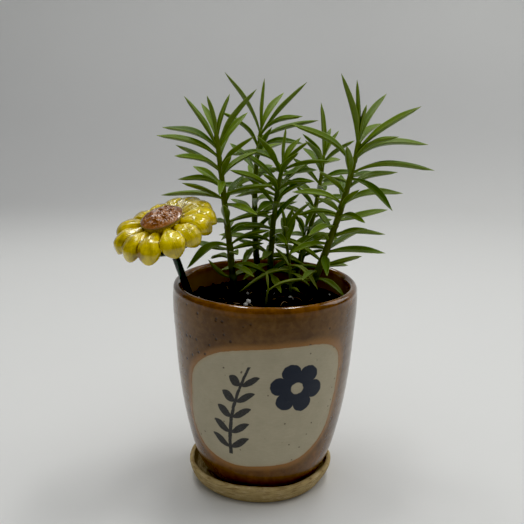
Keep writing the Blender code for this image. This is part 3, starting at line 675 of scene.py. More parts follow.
shoots = {  # millimetres and degrees: a heading of 0 is +X, and 90 is away from the viewer
    "shoot_left": {
        "line": [(-17.0, 12, 103), (-21.8, 11, 146), (-27.3, 8, 192)],  # the stem's foot, middle and top
        "radius": 1.9,
        "leaves": [  # those that show clearly: how far up the stem, heading, rise, arch, length
            (10, 185, -10, -90, 18), (16, 310, 10, 30, 20), (26, 150, -15, -35, 28),
            (27, 220, 35, 100, 32), (28, 335, 40, 30, 27), (33, 50, 30, 55, 22), (41, 125, -5, 10, 20),
            (51, 310, 5, 15, 28), (54, 165, 12, 25, 37), (59, 200, 50, 70, 27), (61, 130, 20, 10, 29),
            (66, 295, 50, 10, 19), (70, 215, 38, 40, 30), (76, 185, 45, 50, 36), (80, 165, 52, 65, 35),
            (81, 190, 62, 10, 33), (80, 40, 60, 30, 28), (82, 340, 68, 25, 38), (84, 125, 72, 45, 27),
            (86, 20, 84, 20, 25), (88, 210, 80, 10, 22),
        ],
        "spiral": (10, 84, 3.1, 80, 28),  # the others: from and to, spacing, first heading, length
    },
    "shoot_back": {
        "line": [(-3.8, 37, 103), (-7.0, 38.5, 150), (-4.2, 40, 190)],
        "radius": 1.8,
        "leaves": [
            (51, 135, 18, 50, 24), (59, 310, 45, 60, 21), (60, 235, 12, 35, 24), (61, 70, 20, 25, 29),
            (65, 125, 30, 10, 31), (74, 60, 18, 20, 31), (78, 225, 65, 55, 37), (84, 20, 22, 15, 37),
            (85, 325, 57, 65, 32), (86, 350, 54, 10, 39), (86, 190, 74, 30, 40), (87, 50, 72, 50, 30),
            (87, 0, 87, 0, 30),
        ],
        "spiral": (10, 80, 3.1, 200, 28),
    },
    "shoot_middle": {
        "line": [(2.5, 24, 103), (4.0, 23, 143), (8.3, 22, 174)],
        "radius": 1.65,
        "leaves": [
            (49, 245, 22, 45, 25), (54, 150, 18, 50, 28), (56, 215, 35, 20, 35), (57, 315, 40, 45, 29),
            (65, 40, 10, 15, 28), (66, 230, 58, 20, 31), (68, 330, 30, 30, 31), (69, 155, 55, 90, 35),
            (70, 315, 50, 20, 25), (70, 40, 72, 45, 21), (70, 355, 86, 0, 22),
        ],
        "spiral": (9, 66, 2.6, 300, 27),
    },
    "shoot_far": {
        "line": [(16.5, 36, 103), (27.0, 40, 142), (32.0, 44, 176)],
        "radius": 1.55,
        "leaves": [
            (56, 60, 5, 15, 24), (69, 60, 8, 15, 24), (70, 230, 62, 40, 27), (70, 305, 35, 10, 31),
            (72, 30, 70, 25, 19), (73, 70, 74, 50, 21), (73, 180, 88, 5, 31),
        ],
        "spiral": (10, 68, 2.8, 20, 26),
    },
    "shoot_right": {
        "line": [(22.5, 5, 103), (37.5, 1, 148), (46.6, -4, 190)],
        "radius": 2.0,
        "leaves": [
            (12, 355, 5, 60, 20), (17, 40, 5, 35, 23), (20, 340, 5, -25, 24), (27, 10, 8, 20, 34),
            (28, 35, 25, 10, 28), (29, 115, -5, 10, 22), (33, 235, 50, 50, 20), (37, 10, 12, 25, 30),
            (45, 25, 2, -10, 32), (46, 305, 38, 65, 23), (50, 235, 30, 10, 26), (53, 0, 46, 65, 34),
            (54, 175, 50, 55, 28), (60, 230, 36, 10, 28), (66, 120, 8, 30, 26), (68, 325, 2, 60, 30),
            (69, 50, 2, 10, 31), (71, 340, 31, 50, 44), (74, 195, 64, 60, 42), (78, 5, 50, 75, 41),
            (83, 340, 47, 20, 40), (85, 60, 40, 45, 33), (85, 220, 82, 25, 40), (86, 45, 72, 45, 34),
            (86, 185, 84, -5, 33), (87, 5, 83, 5, 20),
        ],
        "spiral": (12, 80, 3.3, 90, 28),
    },
    "shoot_short": {
        "line": [(16.0, 18, 103), (13.2, 18.7, 120), (10.2, 19.5, 137)],
        "radius": 1.2,
        "leaves": [
            (33, 170, 78, 10, 15), (34, 20, 76, 15, 15), (32, 265, 50, 40, 18), (30, 100, 50, 30, 17),
        ],
        "spiral": (8, 31, 2.3, 40, 24),
    },
    "shoot_slim": {
        "line": [(17.5, 29, 103), (19.6, 29.6, 119), (22.0, 30, 136)],
        "radius": 1.25,
        "leaves": [
            (32, 200, 66, 20, 16), (33, 20, 74, 20, 16), (31, 280, 45, 40, 17), (29, 100, 50, 30, 16),
        ],
        "spiral": (8, 31, 2.3, 150, 23),
    },
    "shoot_low": {
        "line": [(14.0, 10, 103), (13.8, 10, 111), (13.2, 10, 120)],
        "radius": 1.1,
        "leaves": [
            (15, 187, 4, 55, 31), (17, 330, 30, 110, 24), (13, 320, -10, 55, 15), (16, 120, 55, 40, 16),
            (7, 20, 30, 50, 12), (6, 200, 45, 60, 9), (4, 300, 35, 60, 10),
        ],
        "spiral": None,
    },
    "shoot_front": {
        "line": [(0.6, -6, 103), (0.9, -6, 107), (1.6, -5.8, 111)],
        "radius": 0.9,
        "leaves": [(7.5, 8, 28, 45, 24), (8, 120, 82, 10, 10)],
        "spiral": None,
    },
}

stemForm = {
    "taper": 0.42,
    "rootDepth": 12.0 * mm,
    "sides": 14,
    "step": 1.3 * mm,
    "knuckle": 0.2,
    "knuckleLength": 1.1 * mm,
    "dark": (0.05, 0.056, 0.006),
    "olive": (0.095, 0.105, 0.008),
    "fresh": (0.14, 0.19, 0.012),
}

leafForm = {
    "fold": 0.72,
    "thickness": 1.5 * mm,
    "keel": 0.6,
    "halfWidth": 0.95 * mm,
    "widening": 0.049,
    "youngRise": 55,
    "youngNarrower": 0.14,
    "lowNarrower": 0.4,
    "roll": 15,
    "facing": 16,  # degrees that leaves at the sides turn their upper face to the front
    "belly": 0.5,
    "petiole": 0.26,
    "flick": 1.9635,  # the tip flicks up again, where a leaf's slope has passed the top of a sine
    "flickShare": 0.71,
    "steps": 26,
    "around": 14,
    "groove": 0.22,
    "spiralTurn": 137.5,
    "spiralApart": 4,
    "spiralAside": 36,
    "spiralSway": (12, 15, 26),  # degrees by which spiral leaves differ in heading, rise and arch
    "clearance": 2.2 * mm,  # from other shoots and the flower
    "wallClearance": 1.8 * mm,
    "soilClearance": 2.2 * mm,
    "ripple": 0.05,
    "lowReach": 26 * mm,  # leaves lower than this over the soil are old
    "lowAge": 0.75,
    "topReach": 0.92,  # and so, a little, are those past this share of the stem
    "topAge": 0.2,
    "upper": (0.066, 0.123, 0.002),
    "upperPale": (0.13, 0.2, 0.006),
    "under": (0.16, 0.23, 0.02),
    "margin": (0.34, 0.4, 0.08),
    "old": (0.29, 0.34, 0.07),
}

# turns and lifts in degrees, tried in this order until a leaf is clear of the rest
bendClear = [(0, 0)] + [
    (turn * side, lift) for turn in (0, 9, 18, 27, 36) for lift in (0, 10, -10, 20) for side in (1, -1)
]


def stemPoint(line, share):  # a place on the curve through the foot, middle and top
    foot, middle, top = (np.array(point, float) * mm for point in line)
    early = foot * (1 - share) * (1 - 2 * share)
    return early + middle * 4 * share * (1 - share) + top * share * (2 * share - 1)


def stemAtHeight(line, up):
    tall = line[2][2] - line[0][2]
    share = min(1.0, up / tall)
    for _ in range(6):
        off = up * mm - (stemPoint(line, share)[2] - line[0][2] * mm)
        share = min(1.0, max(0.0, share + off / (tall * mm)))
    return stemPoint(line, share)


def leafLine(leaf, steps):  # points along a leaf's middle, with the ways to its left and out of its top
    start, heading, rise, arch, length, _ = leaf
    turn = math.radians(heading)
    roll = leafForm["roll"] * math.sin(heading * 3.1 + length / mm) + leafForm["facing"] * math.cos(turn)
    roll = math.radians(roll)
    forward = np.array([math.cos(turn), math.sin(turn), 0.0])
    flat = np.array([-forward[1], forward[0], 0.0])
    up = np.array([0, 0, 1.0])
    bend, flick = leafForm["flickShare"] * arch, leafForm["flick"]
    points, sides, normals = [np.array(start, float)], [], []
    for step in range(steps + 1):
        slope = math.radians(rise - bend * math.sin(flick * step / steps))
        normal = up * math.cos(slope) - forward * math.sin(slope)
        sides.append(flat * math.cos(roll) + normal * math.sin(roll))
        normals.append(normal * math.cos(roll) - flat * math.sin(roll))
        slope = math.radians(rise - bend * math.sin(flick * (step + 0.5) / steps))
        points.append(points[-1] + length / steps * (forward * math.cos(slope) + up * math.sin(slope)))
    return np.array(points[:-1]), np.array(sides), np.array(normals)


def leafHalfWidth(shoot, rise, length):  # upright leaves are young and narrow, and so are a low shoot's
    young = min(1.0, max(0.0, (rise - leafForm["youngRise"]) / (85 - leafForm["youngRise"])))
    width = leafForm["halfWidth"] + leafForm["widening"] * length
    width *= 1 - leafForm["youngNarrower"] * young
    return width * (1 - leafForm["lowNarrower"] if shoot["spiral"] is None else 1)


def bladeWidth(share):  # 1 at the belly, narrow at the foot, 0 at the tip
    belly = leafForm["belly"]
    if share > belly:
        return 1 - ((share - belly) / (1 - belly)) ** 2.1
    swell = share / belly
    return leafForm["petiole"] + (1 - leafForm["petiole"]) * swell * swell * (3 - 2 * swell)


def leafSamples(leaf):  # a few points on a leaf, to see what it comes near
    steps = 16
    points, sides, normals = leafLine(leaf, steps)
    rows = []
    for step in range(2, steps + 1):
        wide = leaf[5] * bladeWidth(step / steps)
        for across in (-1, -0.5, 0, 0.5, 1):
            out = sides[step] * across + normals[step] * abs(across) * leafForm["fold"]
            rows.append(points[step] + out * wide)
    return np.array(rows)


def meetsPot(points):
    radius = np.hypot(points[:, 0], points[:, 1])
    outer = pot["radius"] * mm
    wall, above = leafForm["wallClearance"], leafForm["soilClearance"]
    free = outer - pot["wall"] * mm - wall
    inWall = (points[:, 2] < pot["top"] * mm + wall) & (radius > free) & (radius < outer + wall)
    inSoil = (radius <= free) & (points[:, 2] < soil["level"] + above)
    return bool((inWall | inSoil).any())


def flowerSamples():
    middle, across, along, out = flowerFrame()
    rows = []
    for ring in range(1, 8):
        for step in range(8 * ring):
            angle = math.tau * step / (8 * ring)
            spot = middle + (across * math.cos(angle) + along * math.sin(angle)) * (ring * petal["tip"] / 7)
            rows += [spot + out * height * mm for height in (-6, -3, 0, 3)]
    rows += [stake["foot"] + stake["lean"] * step * 1.5 * mm for step in range(32)]
    return np.array(rows)


def stemSamples(shoot):
    rows = []
    for step in range(60):
        point = stemPoint(shoot["line"], step / 59)
        for side in range(4):
            turn = math.radians(90 * side)
            rows.append(point + shoot["radius"] * mm * 0.8 * np.array([math.cos(turn), math.sin(turn), 0]))
    return np.array(rows)


def spiralLeaves(shoot):  # one at each step up where no leaf is set, steeper and longer towards the top
    if shoot["spiral"] is None:
        return []
    first, last, spacing, heading, longest = shoot["spiral"]
    near, beside = leafForm["spiralApart"], leafForm["spiralAside"]
    found = []
    for number in range(int((last - first) / spacing) + 1):
        up = first + spacing * number
        way = (heading + leafForm["spiralTurn"] * number) % 360
        share = up / last
        taken = any(abs(other[0] - up) < near and abs((other[1] - way + 180) % 360 - 180) < beside
                    for other in shoot["leaves"])
        if not taken:
            aside, lift, bend = (most * math.sin(number * (2.4 + 1.3 * kind) + heading)
                                 for kind, most in enumerate(leafForm["spiralSway"]))
            length = longest * (0.74 + 0.28 * share) * (1 + 0.1 * math.sin(number * 5.1))
            found.append((up, way + aside, 10 + 42 * share**1.2 + lift, 36 + bend, length))
    return found


def tooNear(points, others):
    if len(others) == 0:
        return False
    return np.linalg.norm(points[:, None] - others[None], axis=2).min() < leafForm["clearance"]


def placeLeaves():  # the leaves that show, then the others, each turned until it is clear of other shoots
    taken = {name: [stemSamples(shoot)] for name, shoot in shoots.items()}
    taken["flower"] = [flowerSamples()]
    placed = {name: [] for name in shoots}
    rounds = [(name, row) for name, shoot in shoots.items() for row in shoot["leaves"]]
    rounds += [(name, row) for name, shoot in shoots.items() for row in spiralLeaves(shoot)]
    for name, (up, heading, rise, arch, length) in rounds:
        start = stemAtHeight(shoots[name]["line"], up)
        others = np.concatenate([points for other in taken if other != name for points in taken[other]])
        near = others[np.linalg.norm(others - start, axis=1) < (length + 6) * mm]
        for turn, lift in bendClear:
            wide = leafHalfWidth(shoots[name], rise + lift, length * mm)
            leaf = (start, heading + turn, rise + lift, arch, length * mm, wide)
            points = leafSamples(leaf)
            if not meetsPot(points) and not tooNear(points, near):
                placed[name].append(leaf)
                taken[name].append(points)
                break
    return placed


def leafMaterial():
    made, shader, place = startMaterial("leafGreen")
    along, across, top = apart(stored(place, "leafPlace"))
    tint, age, _ = apart(stored(place, "leafKind"))
    mottle = grain(place, 0.35, 4, 0.6)
    fine = grain(place, 2.5, 2)
    pale = ease(mottle * 0.6 + tint * 0.6, 0.3, 0.8)
    upper = blendColours(leafForm["upper"], leafForm["upperPale"], pale)
    under = blendColours(leafForm["under"], leafForm["upperPale"], ease(mottle, 0.4, 0.65))
    colour = blendColours(under, upper, ease(top, 0.35, 0.65))
    colour = blendColours(colour, leafForm["old"], age * (0.55 + 0.3 * mottle))
    foot = ease(along, 0.22, 0.0)
    colour = blendColours(colour, leafForm["under"], foot * 0.7)
    rib = ease(abs(across), 0.16, 0.03) * ease(along, 0.95, 0.75)
    colour = blendColours(colour, leafForm["under"], rib * 0.45)
    edge = ease(abs(across), 0.86, 0.99)
    tip = ease(along, 0.9, 1.0)
    colour = blendColours(colour, leafForm["margin"], edge * 0.55)
    colour = blendColours(colour, leafForm["margin"], tip * 0.6)
    veins = grain(together(across * 4, along * 1.5, tint * 9), 2.0, 3)
    setShader(shader, {
        "Base Color": colour,
        "Roughness": 0.33 + 0.14 * mottle + 0.08 * age,
        "Normal": relief(veins + fine * 0.35, 0.0002, 0.5),
        "Subsurface Weight": 0.12,
        "Subsurface Radius": (0.6, 1.0, 0.25),
        "Subsurface Scale": 0.0012,
        "Specular IOR Level": 0.3,
    })
    return made


def stemMaterial():
    made, shader, place = startMaterial("stemGreen")
    share, knuckle, _ = apart(stored(place, "stemPlace"))
    x, y, z = apart(place)
    ridges = grain(together(x * 1.4, y * 1.4, z * 0.12), 1.6, 4, 0.6)
    blotches = grain(place, 0.3, 4, 0.6)
    grown = ease(share + (blotches - 0.5) * 0.5, 0.0, 0.45)
    colour = blendColours(stemForm["dark"], stemForm["olive"], grown)
    colour = blendColours(colour, stemForm["fresh"], ease(share + (ridges - 0.5) * 0.4, 0.5, 1.0))
    colour = blendColours(colour, stemForm["fresh"], knuckle * 0.4)
    setShader(shader, {
        "Base Color": colour,
        "Roughness": 0.42 + 0.2 * ridges,
        "Normal": relief(ridges, 0.0004, 0.6),
        "Specular IOR Level": 0.3,
    })
    return made


def leafSurface(leaf, age, tint):  # points of one fine blade, and what the material reads at each
    steps, around = leafForm["steps"], leafForm["around"]
    points, sides, normals = leafLine(leaf, steps)
    rows, places = [], []
    for step in range(steps + 1):
        share = step / steps
        part = bladeWidth(share)
        wide = leaf[5] * part * (1 + leafForm["ripple"] * math.sin(share * 11 + tint * 20))
        thick = leafForm["thickness"] * (0.7 + 0.3 * part) * min(1.0, (1.02 - share) * 7)
        for n in range(around):
            turn = math.tau * n / around
            across, swell = math.cos(turn), math.sin(turn)
            fold = leafForm["fold"] * wide * abs(across) ** 1.2
            keel = leafForm["keel"] if swell < 0 else 1 - leafForm["keel"]
            body = thick * keel * swell * (1 - 0.3 * abs(across))
            if swell > 0:
                body -= thick * leafForm["groove"] * math.exp(-((across / 0.2) ** 2)) * swell
            rows.append(points[step] + sides[step] * across * wide + normals[step] * (fold + body))
            places.append((share, across, 1.0 if swell > 0.01 else (0.5 if swell > -0.01 else 0.0)))
    kinds = [(tint, age, 0)] * len(rows)
    return rows, places, kinds


def buildLeaves(name, leaves, material):
    shoot = shoots[name]
    tall = (shoot["line"][2][2] - shoot["line"][0][2]) * mm
    points, places, kinds, faces = [], [], [], []
    for number, leaf in enumerate(leaves):
        height = leaf[0][2] - soil["level"]
        low = 1.0 if shoot["spiral"] is None else max(0.0, 1 - height / leafForm["lowReach"])
        high = max(0.0, height / tall - leafForm["topReach"]) / (1 - leafForm["topReach"])
        age = min(1.0, leafForm["lowAge"] * low + leafForm["topAge"] * high)
        tint = (math.sin(number * 12.9 + leaf[1]) * 43.7) % 1.0
        rows, where, kind = leafSurface(leaf, age, tint)
        faces += tubeFaces(leafForm["steps"] + 1, leafForm["around"], len(points))
        points += rows
        places += where
        kinds += kind
    mesh = makeMesh(name + "_blades", points, faces)
    store(mesh, "leafPlace", places)
    store(mesh, "leafKind", kinds)
    addPiece(name.replace("shoot", "leaves"), mesh, material)


def buildStem(name, leaves, material):
    shoot = shoots[name]
    line, radius, sides = shoot["line"], shoot["radius"] * mm, stemForm["sides"]
    tall = (line[2][2] - line[0][2]) * mm
    way = stemPoint(line, 0.06) - stemPoint(line, 0)  # the stem goes on down this way into the soil
    way /= np.linalg.norm(way)
    count = max(6, round(tall / stemForm["step"]))
    points, places = [], []
    for step in range(-1, count + 3):
        share = min(1.0, max(0, step) / count)
        centre = stemPoint(line, share) - (way * stemForm["rootDepth"] if step < 0 else 0)
        thick = radius * (1 - stemForm["taper"] * share)
        apartUp = [(centre[2] - leaf[0][2]) / stemForm["knuckleLength"] for leaf in leaves]
        knuckle = sum(math.exp(-(far**2)) for far in apartUp)
        thick *= 1 + stemForm["knuckle"] * min(1.0, knuckle)
        if step > count:  # two rings more round the stem off at its top
            centre = centre + np.array([0, 0, (step - count) * 0.9 * mm])
            thick *= (0.8, 0.35)[step - count - 1]
        for n in range(sides):
            turn = math.tau * n / sides
            bulge = 1 + 0.05 * math.sin(3 * turn + centre[2] / mm * 0.35)
            points.append(centre + thick * bulge * np.array([math.cos(turn), math.sin(turn), 0]))
            places.append((share, min(1.0, knuckle), 0))
    mesh = makeMesh(name + "_stem", points, tubeFaces(count + 4, sides))
    store(mesh, "stemPlace", places)
    addPiece(name.replace("shoot", "stem"), mesh, material, name)


def buildShoots():
    leafy, woody = leafMaterial(), stemMaterial()
    for name, leaves in placeLeaves().items():
        buildStem(name, leaves, woody)
        buildLeaves(name, leaves, leafy)
    print("shoots made")


# Ceramic flower: fat petals under yellow glaze, a pitted middle, a green back and its stake

stake = {
    "foot": Vector((-40.6, 1.0, 103.0)) * mm,
    "lean": Vector((-0.28, -0.32, 1.0)).normalized(),
    "radius": 2.0 * mm,
    "depth": 20.0 * mm,
    "point": 4 * mm,
    "flowerRise": 46.8 * mm,
    "green": ((0.003, 0.018, 0.009), (0.01, 0.045, 0.022)),
}

petal = {
    "rows": (  # the way each petal heads, in degrees, and how far it reaches, as a share
        (-168, 1.0), (-140, 0.97), (-110, 0.98), (-77, 0.97), (-48, 0.88), (-21, 0.92), (4, 0.97),
        (28, 0.99), (51, 1.01), (75, 0.99), (101, 0.82), (130, 0.91), (161, 1.0),
    ),
    "tip": 28.0 * mm,
    "root": 6.0 * mm,
    "width": 12.8 * mm,
    "thickness": 9.8 * mm,
    "arch": 1.6 * mm,
    "droop": 2.6 * mm,
    "sway": 0.4 * mm,
    "neck": 0.38,
    "waist": 1.6,
    "bulb": 0.7,
    "blunt": 2.4,
    "fatness": 0.5,
    "rings": 30,
    "around": 28,
    "rustPlace": (-13.5, -22.5),  # mm from the flower's middle, across and along its face
    "voxel": 0.4 * mm,
    "groove": 0.75 * mm,
    "glaze": ((0.3, 0.21, 0.0), (0.84, 0.64, 0.003)),
    "ray": (0.9, 0.74, 0.06),
    "rootTone": (0.34, 0.2, 0.015),
    # dark glaze pooled in the creases, deepened with painted shade between the petals
    "creasePoolAndShade": (0.1, 0.04, 0.004),
    "rust": (0.22, 0.06, 0.006),
}

hub = {"radius": 10.8 * mm, "front": 4.8 * mm, "back": -5.2 * mm}

disc = {
    "radius": 11.2 * mm,
    "height": 3.8 * mm,
    "rim": 1.0 * mm,
    "rings": 60,
    "sides": 200,
    "notches": 34,
    "craters": [  # across and along as shares of the radius, and the size in mm
        (0.05, 0.08, 1.5), (0.5, 0.02, 1.2), (-0.42, 0.2, 1.1), (-0.2, -0.42, 1.0), (0.3, 0.48, 1.0),
        (0.25, -0.4, 0.9),
    ],
    "combAt": 0.78,  # the ring of notches, as a share of the radius
    "comb": 0.26,
    "brown": ((0.15, 0.04, 0.005), (0.37, 0.14, 0.028)),
    "pit": (0.04, 0.01, 0.003),
    "buff": (0.42, 0.3, 0.14),  # bare clay at the disc's edge
}

calyx = {
    "radius": 19.0 * mm,
    "thickness": 3.0 * mm,
    "socketRadius": 4.4 * mm,
    "socketLength": 5.0 * mm,
    "socketDepth": 5.5 * mm,
    "green": ((0.05, 0.075, 0.04), (0.16, 0.19, 0.12)),
}


def flowerFrame():  # the flower's middle and its three ways: across its face, up its face and out of it
    out = stake["lean"]
    across = Vector((0, 1, 0)).cross(out).normalized()
    return stake["foot"] + out * stake["flowerRise"], across, out.cross(across), out


def flowerPlace():
    middle, across, along, out = flowerFrame()
    place = Matrix((across, along, out)).transposed().to_4x4()
    place.translation = middle
    return place


def petalWidth(share):  # 1 at the bulb, narrow at the root, rounded off at the tip
    if share > petal["bulb"]:
        tip = ((share - petal["bulb"]) / (1 - petal["bulb"])) ** petal["blunt"]
        return max(0.0, 1 - tip) ** (1 / petal["blunt"])
    swell = (share / petal["bulb"]) ** petal["waist"]
    return petal["neck"] + (1 - petal["neck"]) * swell * swell * (3 - 2 * swell)


def petalSurface(number):
    sway = petal["sway"] * math.sin(number * 2.7 + 0.4)
    heading, shareOfReach = petal["rows"][number]
    angle = math.radians(heading)
    reach = petal["tip"] * shareOfReach
    out = np.array([math.cos(angle), math.sin(angle), 0])
    side = np.array([-out[1], out[0], 0])
    grooves = (-0.3 + 0.12 * math.sin(number * 5), 0.28 + 0.1 * math.sin(number * 3 + 1))
    deep = petal["groove"] * (1.0 if out[1] > 0.1 else 0.45)
    rows = []
    for ring in range(petal["rings"] + 1):
        share = math.sin(math.pi / 2 * ring / petal["rings"])
        width = petal["width"] / 2 * petalWidth(share)
        thick = petal["thickness"] / 2 * petalWidth(share) ** petal["fatness"]
        lift = sway + petal["arch"] * math.sin(math.pi * share) - petal["droop"] * share**2
        centre = out * (petal["root"] + (reach - petal["root"]) * share) + np.array([0, 0, lift])
        for n in range(petal["around"]):
            turn = math.tau * n / petal["around"]
            across, up = math.cos(turn), math.sin(turn)
            spot = Vector((share * 3.0, across * 1.3, number * 7.7 + up))
            lump = 1 + 0.07 * noise.noise(spot * 1.5)
            dent = sum(math.exp(-(((across - g) / 0.13) ** 2)) for g in grooves) * deep
            dent *= math.sin(math.pi * min(1.0, share * 1.1)) * max(0.0, up)
            rows.append(centre + side * width * lump * across + np.array([0, 0, thick * lump * up - dent]))
    return rows


def meltTogether(name, points, faces, voxel, smoothing):  # one skin round shapes that run into one another
    mesh = makeMesh(name, points, faces)
    piece = bpy.data.objects.new(name, mesh)
    bpy.context.scene.collection.objects.link(piece)
    melt = piece.modifiers.new("melt", "REMESH")
    melt.mode = "VOXEL"
    melt.voxel_size = voxel
    soften = piece.modifiers.new("soften", "SMOOTH")
    soften.factor = 0.5
    soften.iterations = smoothing
    bpy.context.view_layer.update()
    graph = bpy.context.evaluated_depsgraph_get()
    skin = bpy.data.meshes.new_from_object(piece.evaluated_get(graph))
    bpy.data.objects.remove(piece)
    skin.shade_smooth()
    return skin


def creaseDepth(mesh):  # how far each point lies under the points round it, in tenths of a millimetre
    count = len(mesh.vertices)
    places = np.empty(count * 3, np.float32)
    mesh.vertices.foreach_get("co", places)
    normals = np.empty(count * 3, np.float32)
    mesh.vertices.foreach_get("normal", normals)
    pairs = np.empty(len(mesh.edges) * 2, np.int32)
    mesh.edges.foreach_get("vertices", pairs)
    places, normals, pairs = places.reshape(-1, 3), normals.reshape(-1, 3), pairs.reshape(-1, 2)
    ends = np.concatenate([pairs, pairs[:, ::-1]])
    number = np.maximum(1, np.bincount(ends[:, 0], minlength=count))
    wide = places.copy()
    for _ in range(4):
        wide = np.stack([np.bincount(ends[:, 0], wide[ends[:, 1], k], count) / number for k in range(3)], 1)
    return ((wide - places) * normals).sum(1) / (0.1 * mm)


def petalMaterial():
    made, shader, place = startMaterial("yellowGlaze")
    crease = apart(stored(place, "crease"))[0]
    x, y, _ = apart(place)
    turn = work("ARCTAN2", y, x)
    away = work("SQRT", x * x + y * y)
    rays = grain(together(work("COSINE", turn) * 9, work("SINE", turn) * 9, away * 0.07), 1.6, 4, 0.65)
    clouds = grain(place, 0.13, 4, 0.6)
    fine = grain(place, 1.6, 3)
    colour = blendColours(*petal["glaze"], ease(clouds * 0.75 + rays * 0.3, 0.34, 0.66))
    colour = blendColours(colour, petal["ray"], ease(rays, 0.6, 0.7) * 0.3)
    root = ease(away + (rays - 0.5) * 8, 16, 10)
    colour = blendColours(colour, petal["rootTone"], root * 0.4)
    # creases darkened: pooled glaze and painted shade
    colour = blendColours(colour, petal["creasePoolAndShade"], ease(crease, 0.2, 1.2) * 0.9)
    rustAway = ((x - petal["rustPlace"][0]) ** 2 + (y - petal["rustPlace"][1]) ** 2) ** 0.5
    rust = ease(rustAway + (fine - 0.5) * 3, 3.2, 1.4)
    colour = blendColours(colour, petal["rust"], rust * 0.75)
    setShader(shader, {
        "Base Color": colour,
        "Roughness": 0.15 + 0.1 * clouds,
        "Normal": relief(rays * 1.1 + fine * 0.15 + clouds * 0.6, 0.0009, 0.6),
        "Coat Weight": 1.0,
        "Coat Roughness": 0.02,
    })
    return made


def buildPetals():
    points, faces = [], []
    for number in range(len(petal["rows"])):
        faces += tubeFaces(petal["rings"] + 1, petal["around"], len(points))
        points += petalSurface(number)
    front, back = hub["front"], hub["back"]
    core, coreFaces = turned([(0.0, front), (hub["radius"], front), (hub["radius"], back), (0.0, back)], 48)
    faces += [tuple(corner + len(points) for corner in face) for face in coreFaces]
    points += list(core)
    mesh = meltTogether("petalMesh", points, faces, petal["voxel"], 5)
    storeNumber(mesh, "crease", creaseDepth(mesh))
    addPiece("flower_petals_glazed", mesh, petalMaterial(), "flower_petals", flowerPlace())


def discMaterial():
    made, shader, place = startMaterial("brownDisc")
    hollow = apart(stored(place, "hollow"))[0]
    clouds = grain(place, 0.25, 4, 0.65)
    fine = grain(place, 1.2, 4, 0.7)
    height = apart(place)[2] - hub["front"] / mm
    colour = blendColours(*disc["brown"], ease(clouds * 0.7 + fine * 0.3, 0.38, 0.6))
    colour = blendColours(colour, disc["pit"], ease(hollow + (fine - 0.5) * 0.5, 0.2, 0.85) * 0.85)
    colour = blendColours(colour, disc["buff"], ease(height + (clouds - 0.5) * 1.2, 1.5, 0.7) * 0.8)
    setShader(shader, {
        "Base Color": colour,
        "Roughness": 0.08 + 0.1 * fine,
        "Normal": relief(fine * 0.35 + clouds, 0.0007, 0.7),
        "Coat Weight": 0.9,
        "Coat Roughness": 0.02,
    })
    return made


def discRelief(x, y):  # mm that the disc's top is raised at a place, and how deep it is pressed there
    share = min(1.0, math.hypot(x, y) / disc["radius"])
    turn = math.atan2(y, x)
    spot = Vector((x, y, 0)) / mm
    raised = noise.noise(spot * 0.35) * 0.7 + noise.noise(spot * 1.0) * 0.25
    pressed = 0.0
    for across, along, size in disc["craters"]:
        away = math.hypot(x - across * disc["radius"], y - along * disc["radius"]) / mm
        pit = math.exp(-((away / (0.6 * size)) ** 2))
        raised += 0.4 * math.exp(-(((away - size) / 0.4) ** 2)) - 0.5 * pit
        pressed += pit
    comb = math.sin(disc["notches"] * turn + 2.5 * noise.noise(spot * 0.3))
    band = math.exp(-(((share - disc["combAt"]) / 0.13) ** 2))
    raised += disc["comb"] * comb * band
    pressed += max(0.0, -comb) * band * 0.8
    return raised * (1 - share**5), min(1.0, pressed)


def buildDisc():
    radius, rings, sides = disc["radius"], disc["rings"], disc["sides"]
    profile = [(radius * math.sin(math.pi / 2 * n / rings), 0.0) for n in range(rings + 1)]
    points, faces = turned(profile + [(radius, 0.0), (0.0, 0.0)], sides)
    hollow = np.zeros(len(points))
    for n in range((rings + 1) * sides):
        x, y = points[n][0], points[n][1]
        share = min(1.0, math.hypot(x, y) / radius)
        raised, hollow[n] = discRelief(x, y)
        points[n][2] = disc["rim"] + (disc["height"] - disc["rim"]) * (1 - share**2.6) + raised * mm
        points[n][:2] *= 1 + 0.025 * share**4 * noise.noise(Vector((x, y, 3)) / mm * 0.25)
    points[:, 2] += hub["front"] + gap
    mesh = makeMesh("discMesh", points, faces)
    storeNumber(mesh, "hollow", hollow)
    faceOut(mesh)
    addPiece("flower_disc_glazed", mesh, discMaterial(), "flower_disc", flowerPlace())


def buildCalyx():
    front = hub["back"] - gap
    back = front - calyx["thickness"]
    socket = back - calyx["socketLength"]
    radius, neck, bore = calyx["radius"], calyx["socketRadius"], stake["radius"] + gap
    outline = [
        (radius * 0.5, front), (radius, front), (radius + 0.6 * mm, front - 0.8 * mm),
        (radius * 0.9, back + 1.1 * mm), (radius * 0.75, back + 0.4 * mm),
        (neck + 1.6 * mm, back), (neck, back - 1.2 * mm), (neck, socket),
    ]
    line = [(0.0, front)] + [tuple(p) for p in smoothLine(outline, 0.7 * mm)]
    line += [(bore, socket), (bore, socket + calyx["socketDepth"]), (0.0, socket + calyx["socketDepth"])]
    points, faces = turned(line, 120)
    for point in points:  # eight shallow lobes
        away = math.hypot(point[0], point[1])
        if away > neck + 2 * mm:
            turn = math.atan2(point[1], point[0])
            point[:2] *= 1 + 0.035 * math.sin(8 * turn) * (away / radius) ** 3
    mesh = makeMesh("calyxMesh", points, faces)
    faceOut(mesh)
    green = plainMaterial("calyxGreen", calyx["green"], 0.3, 0.3, 0.0004)
    addPiece("flower_calyx_glazed", mesh, green, "flower_calyx", flowerPlace())


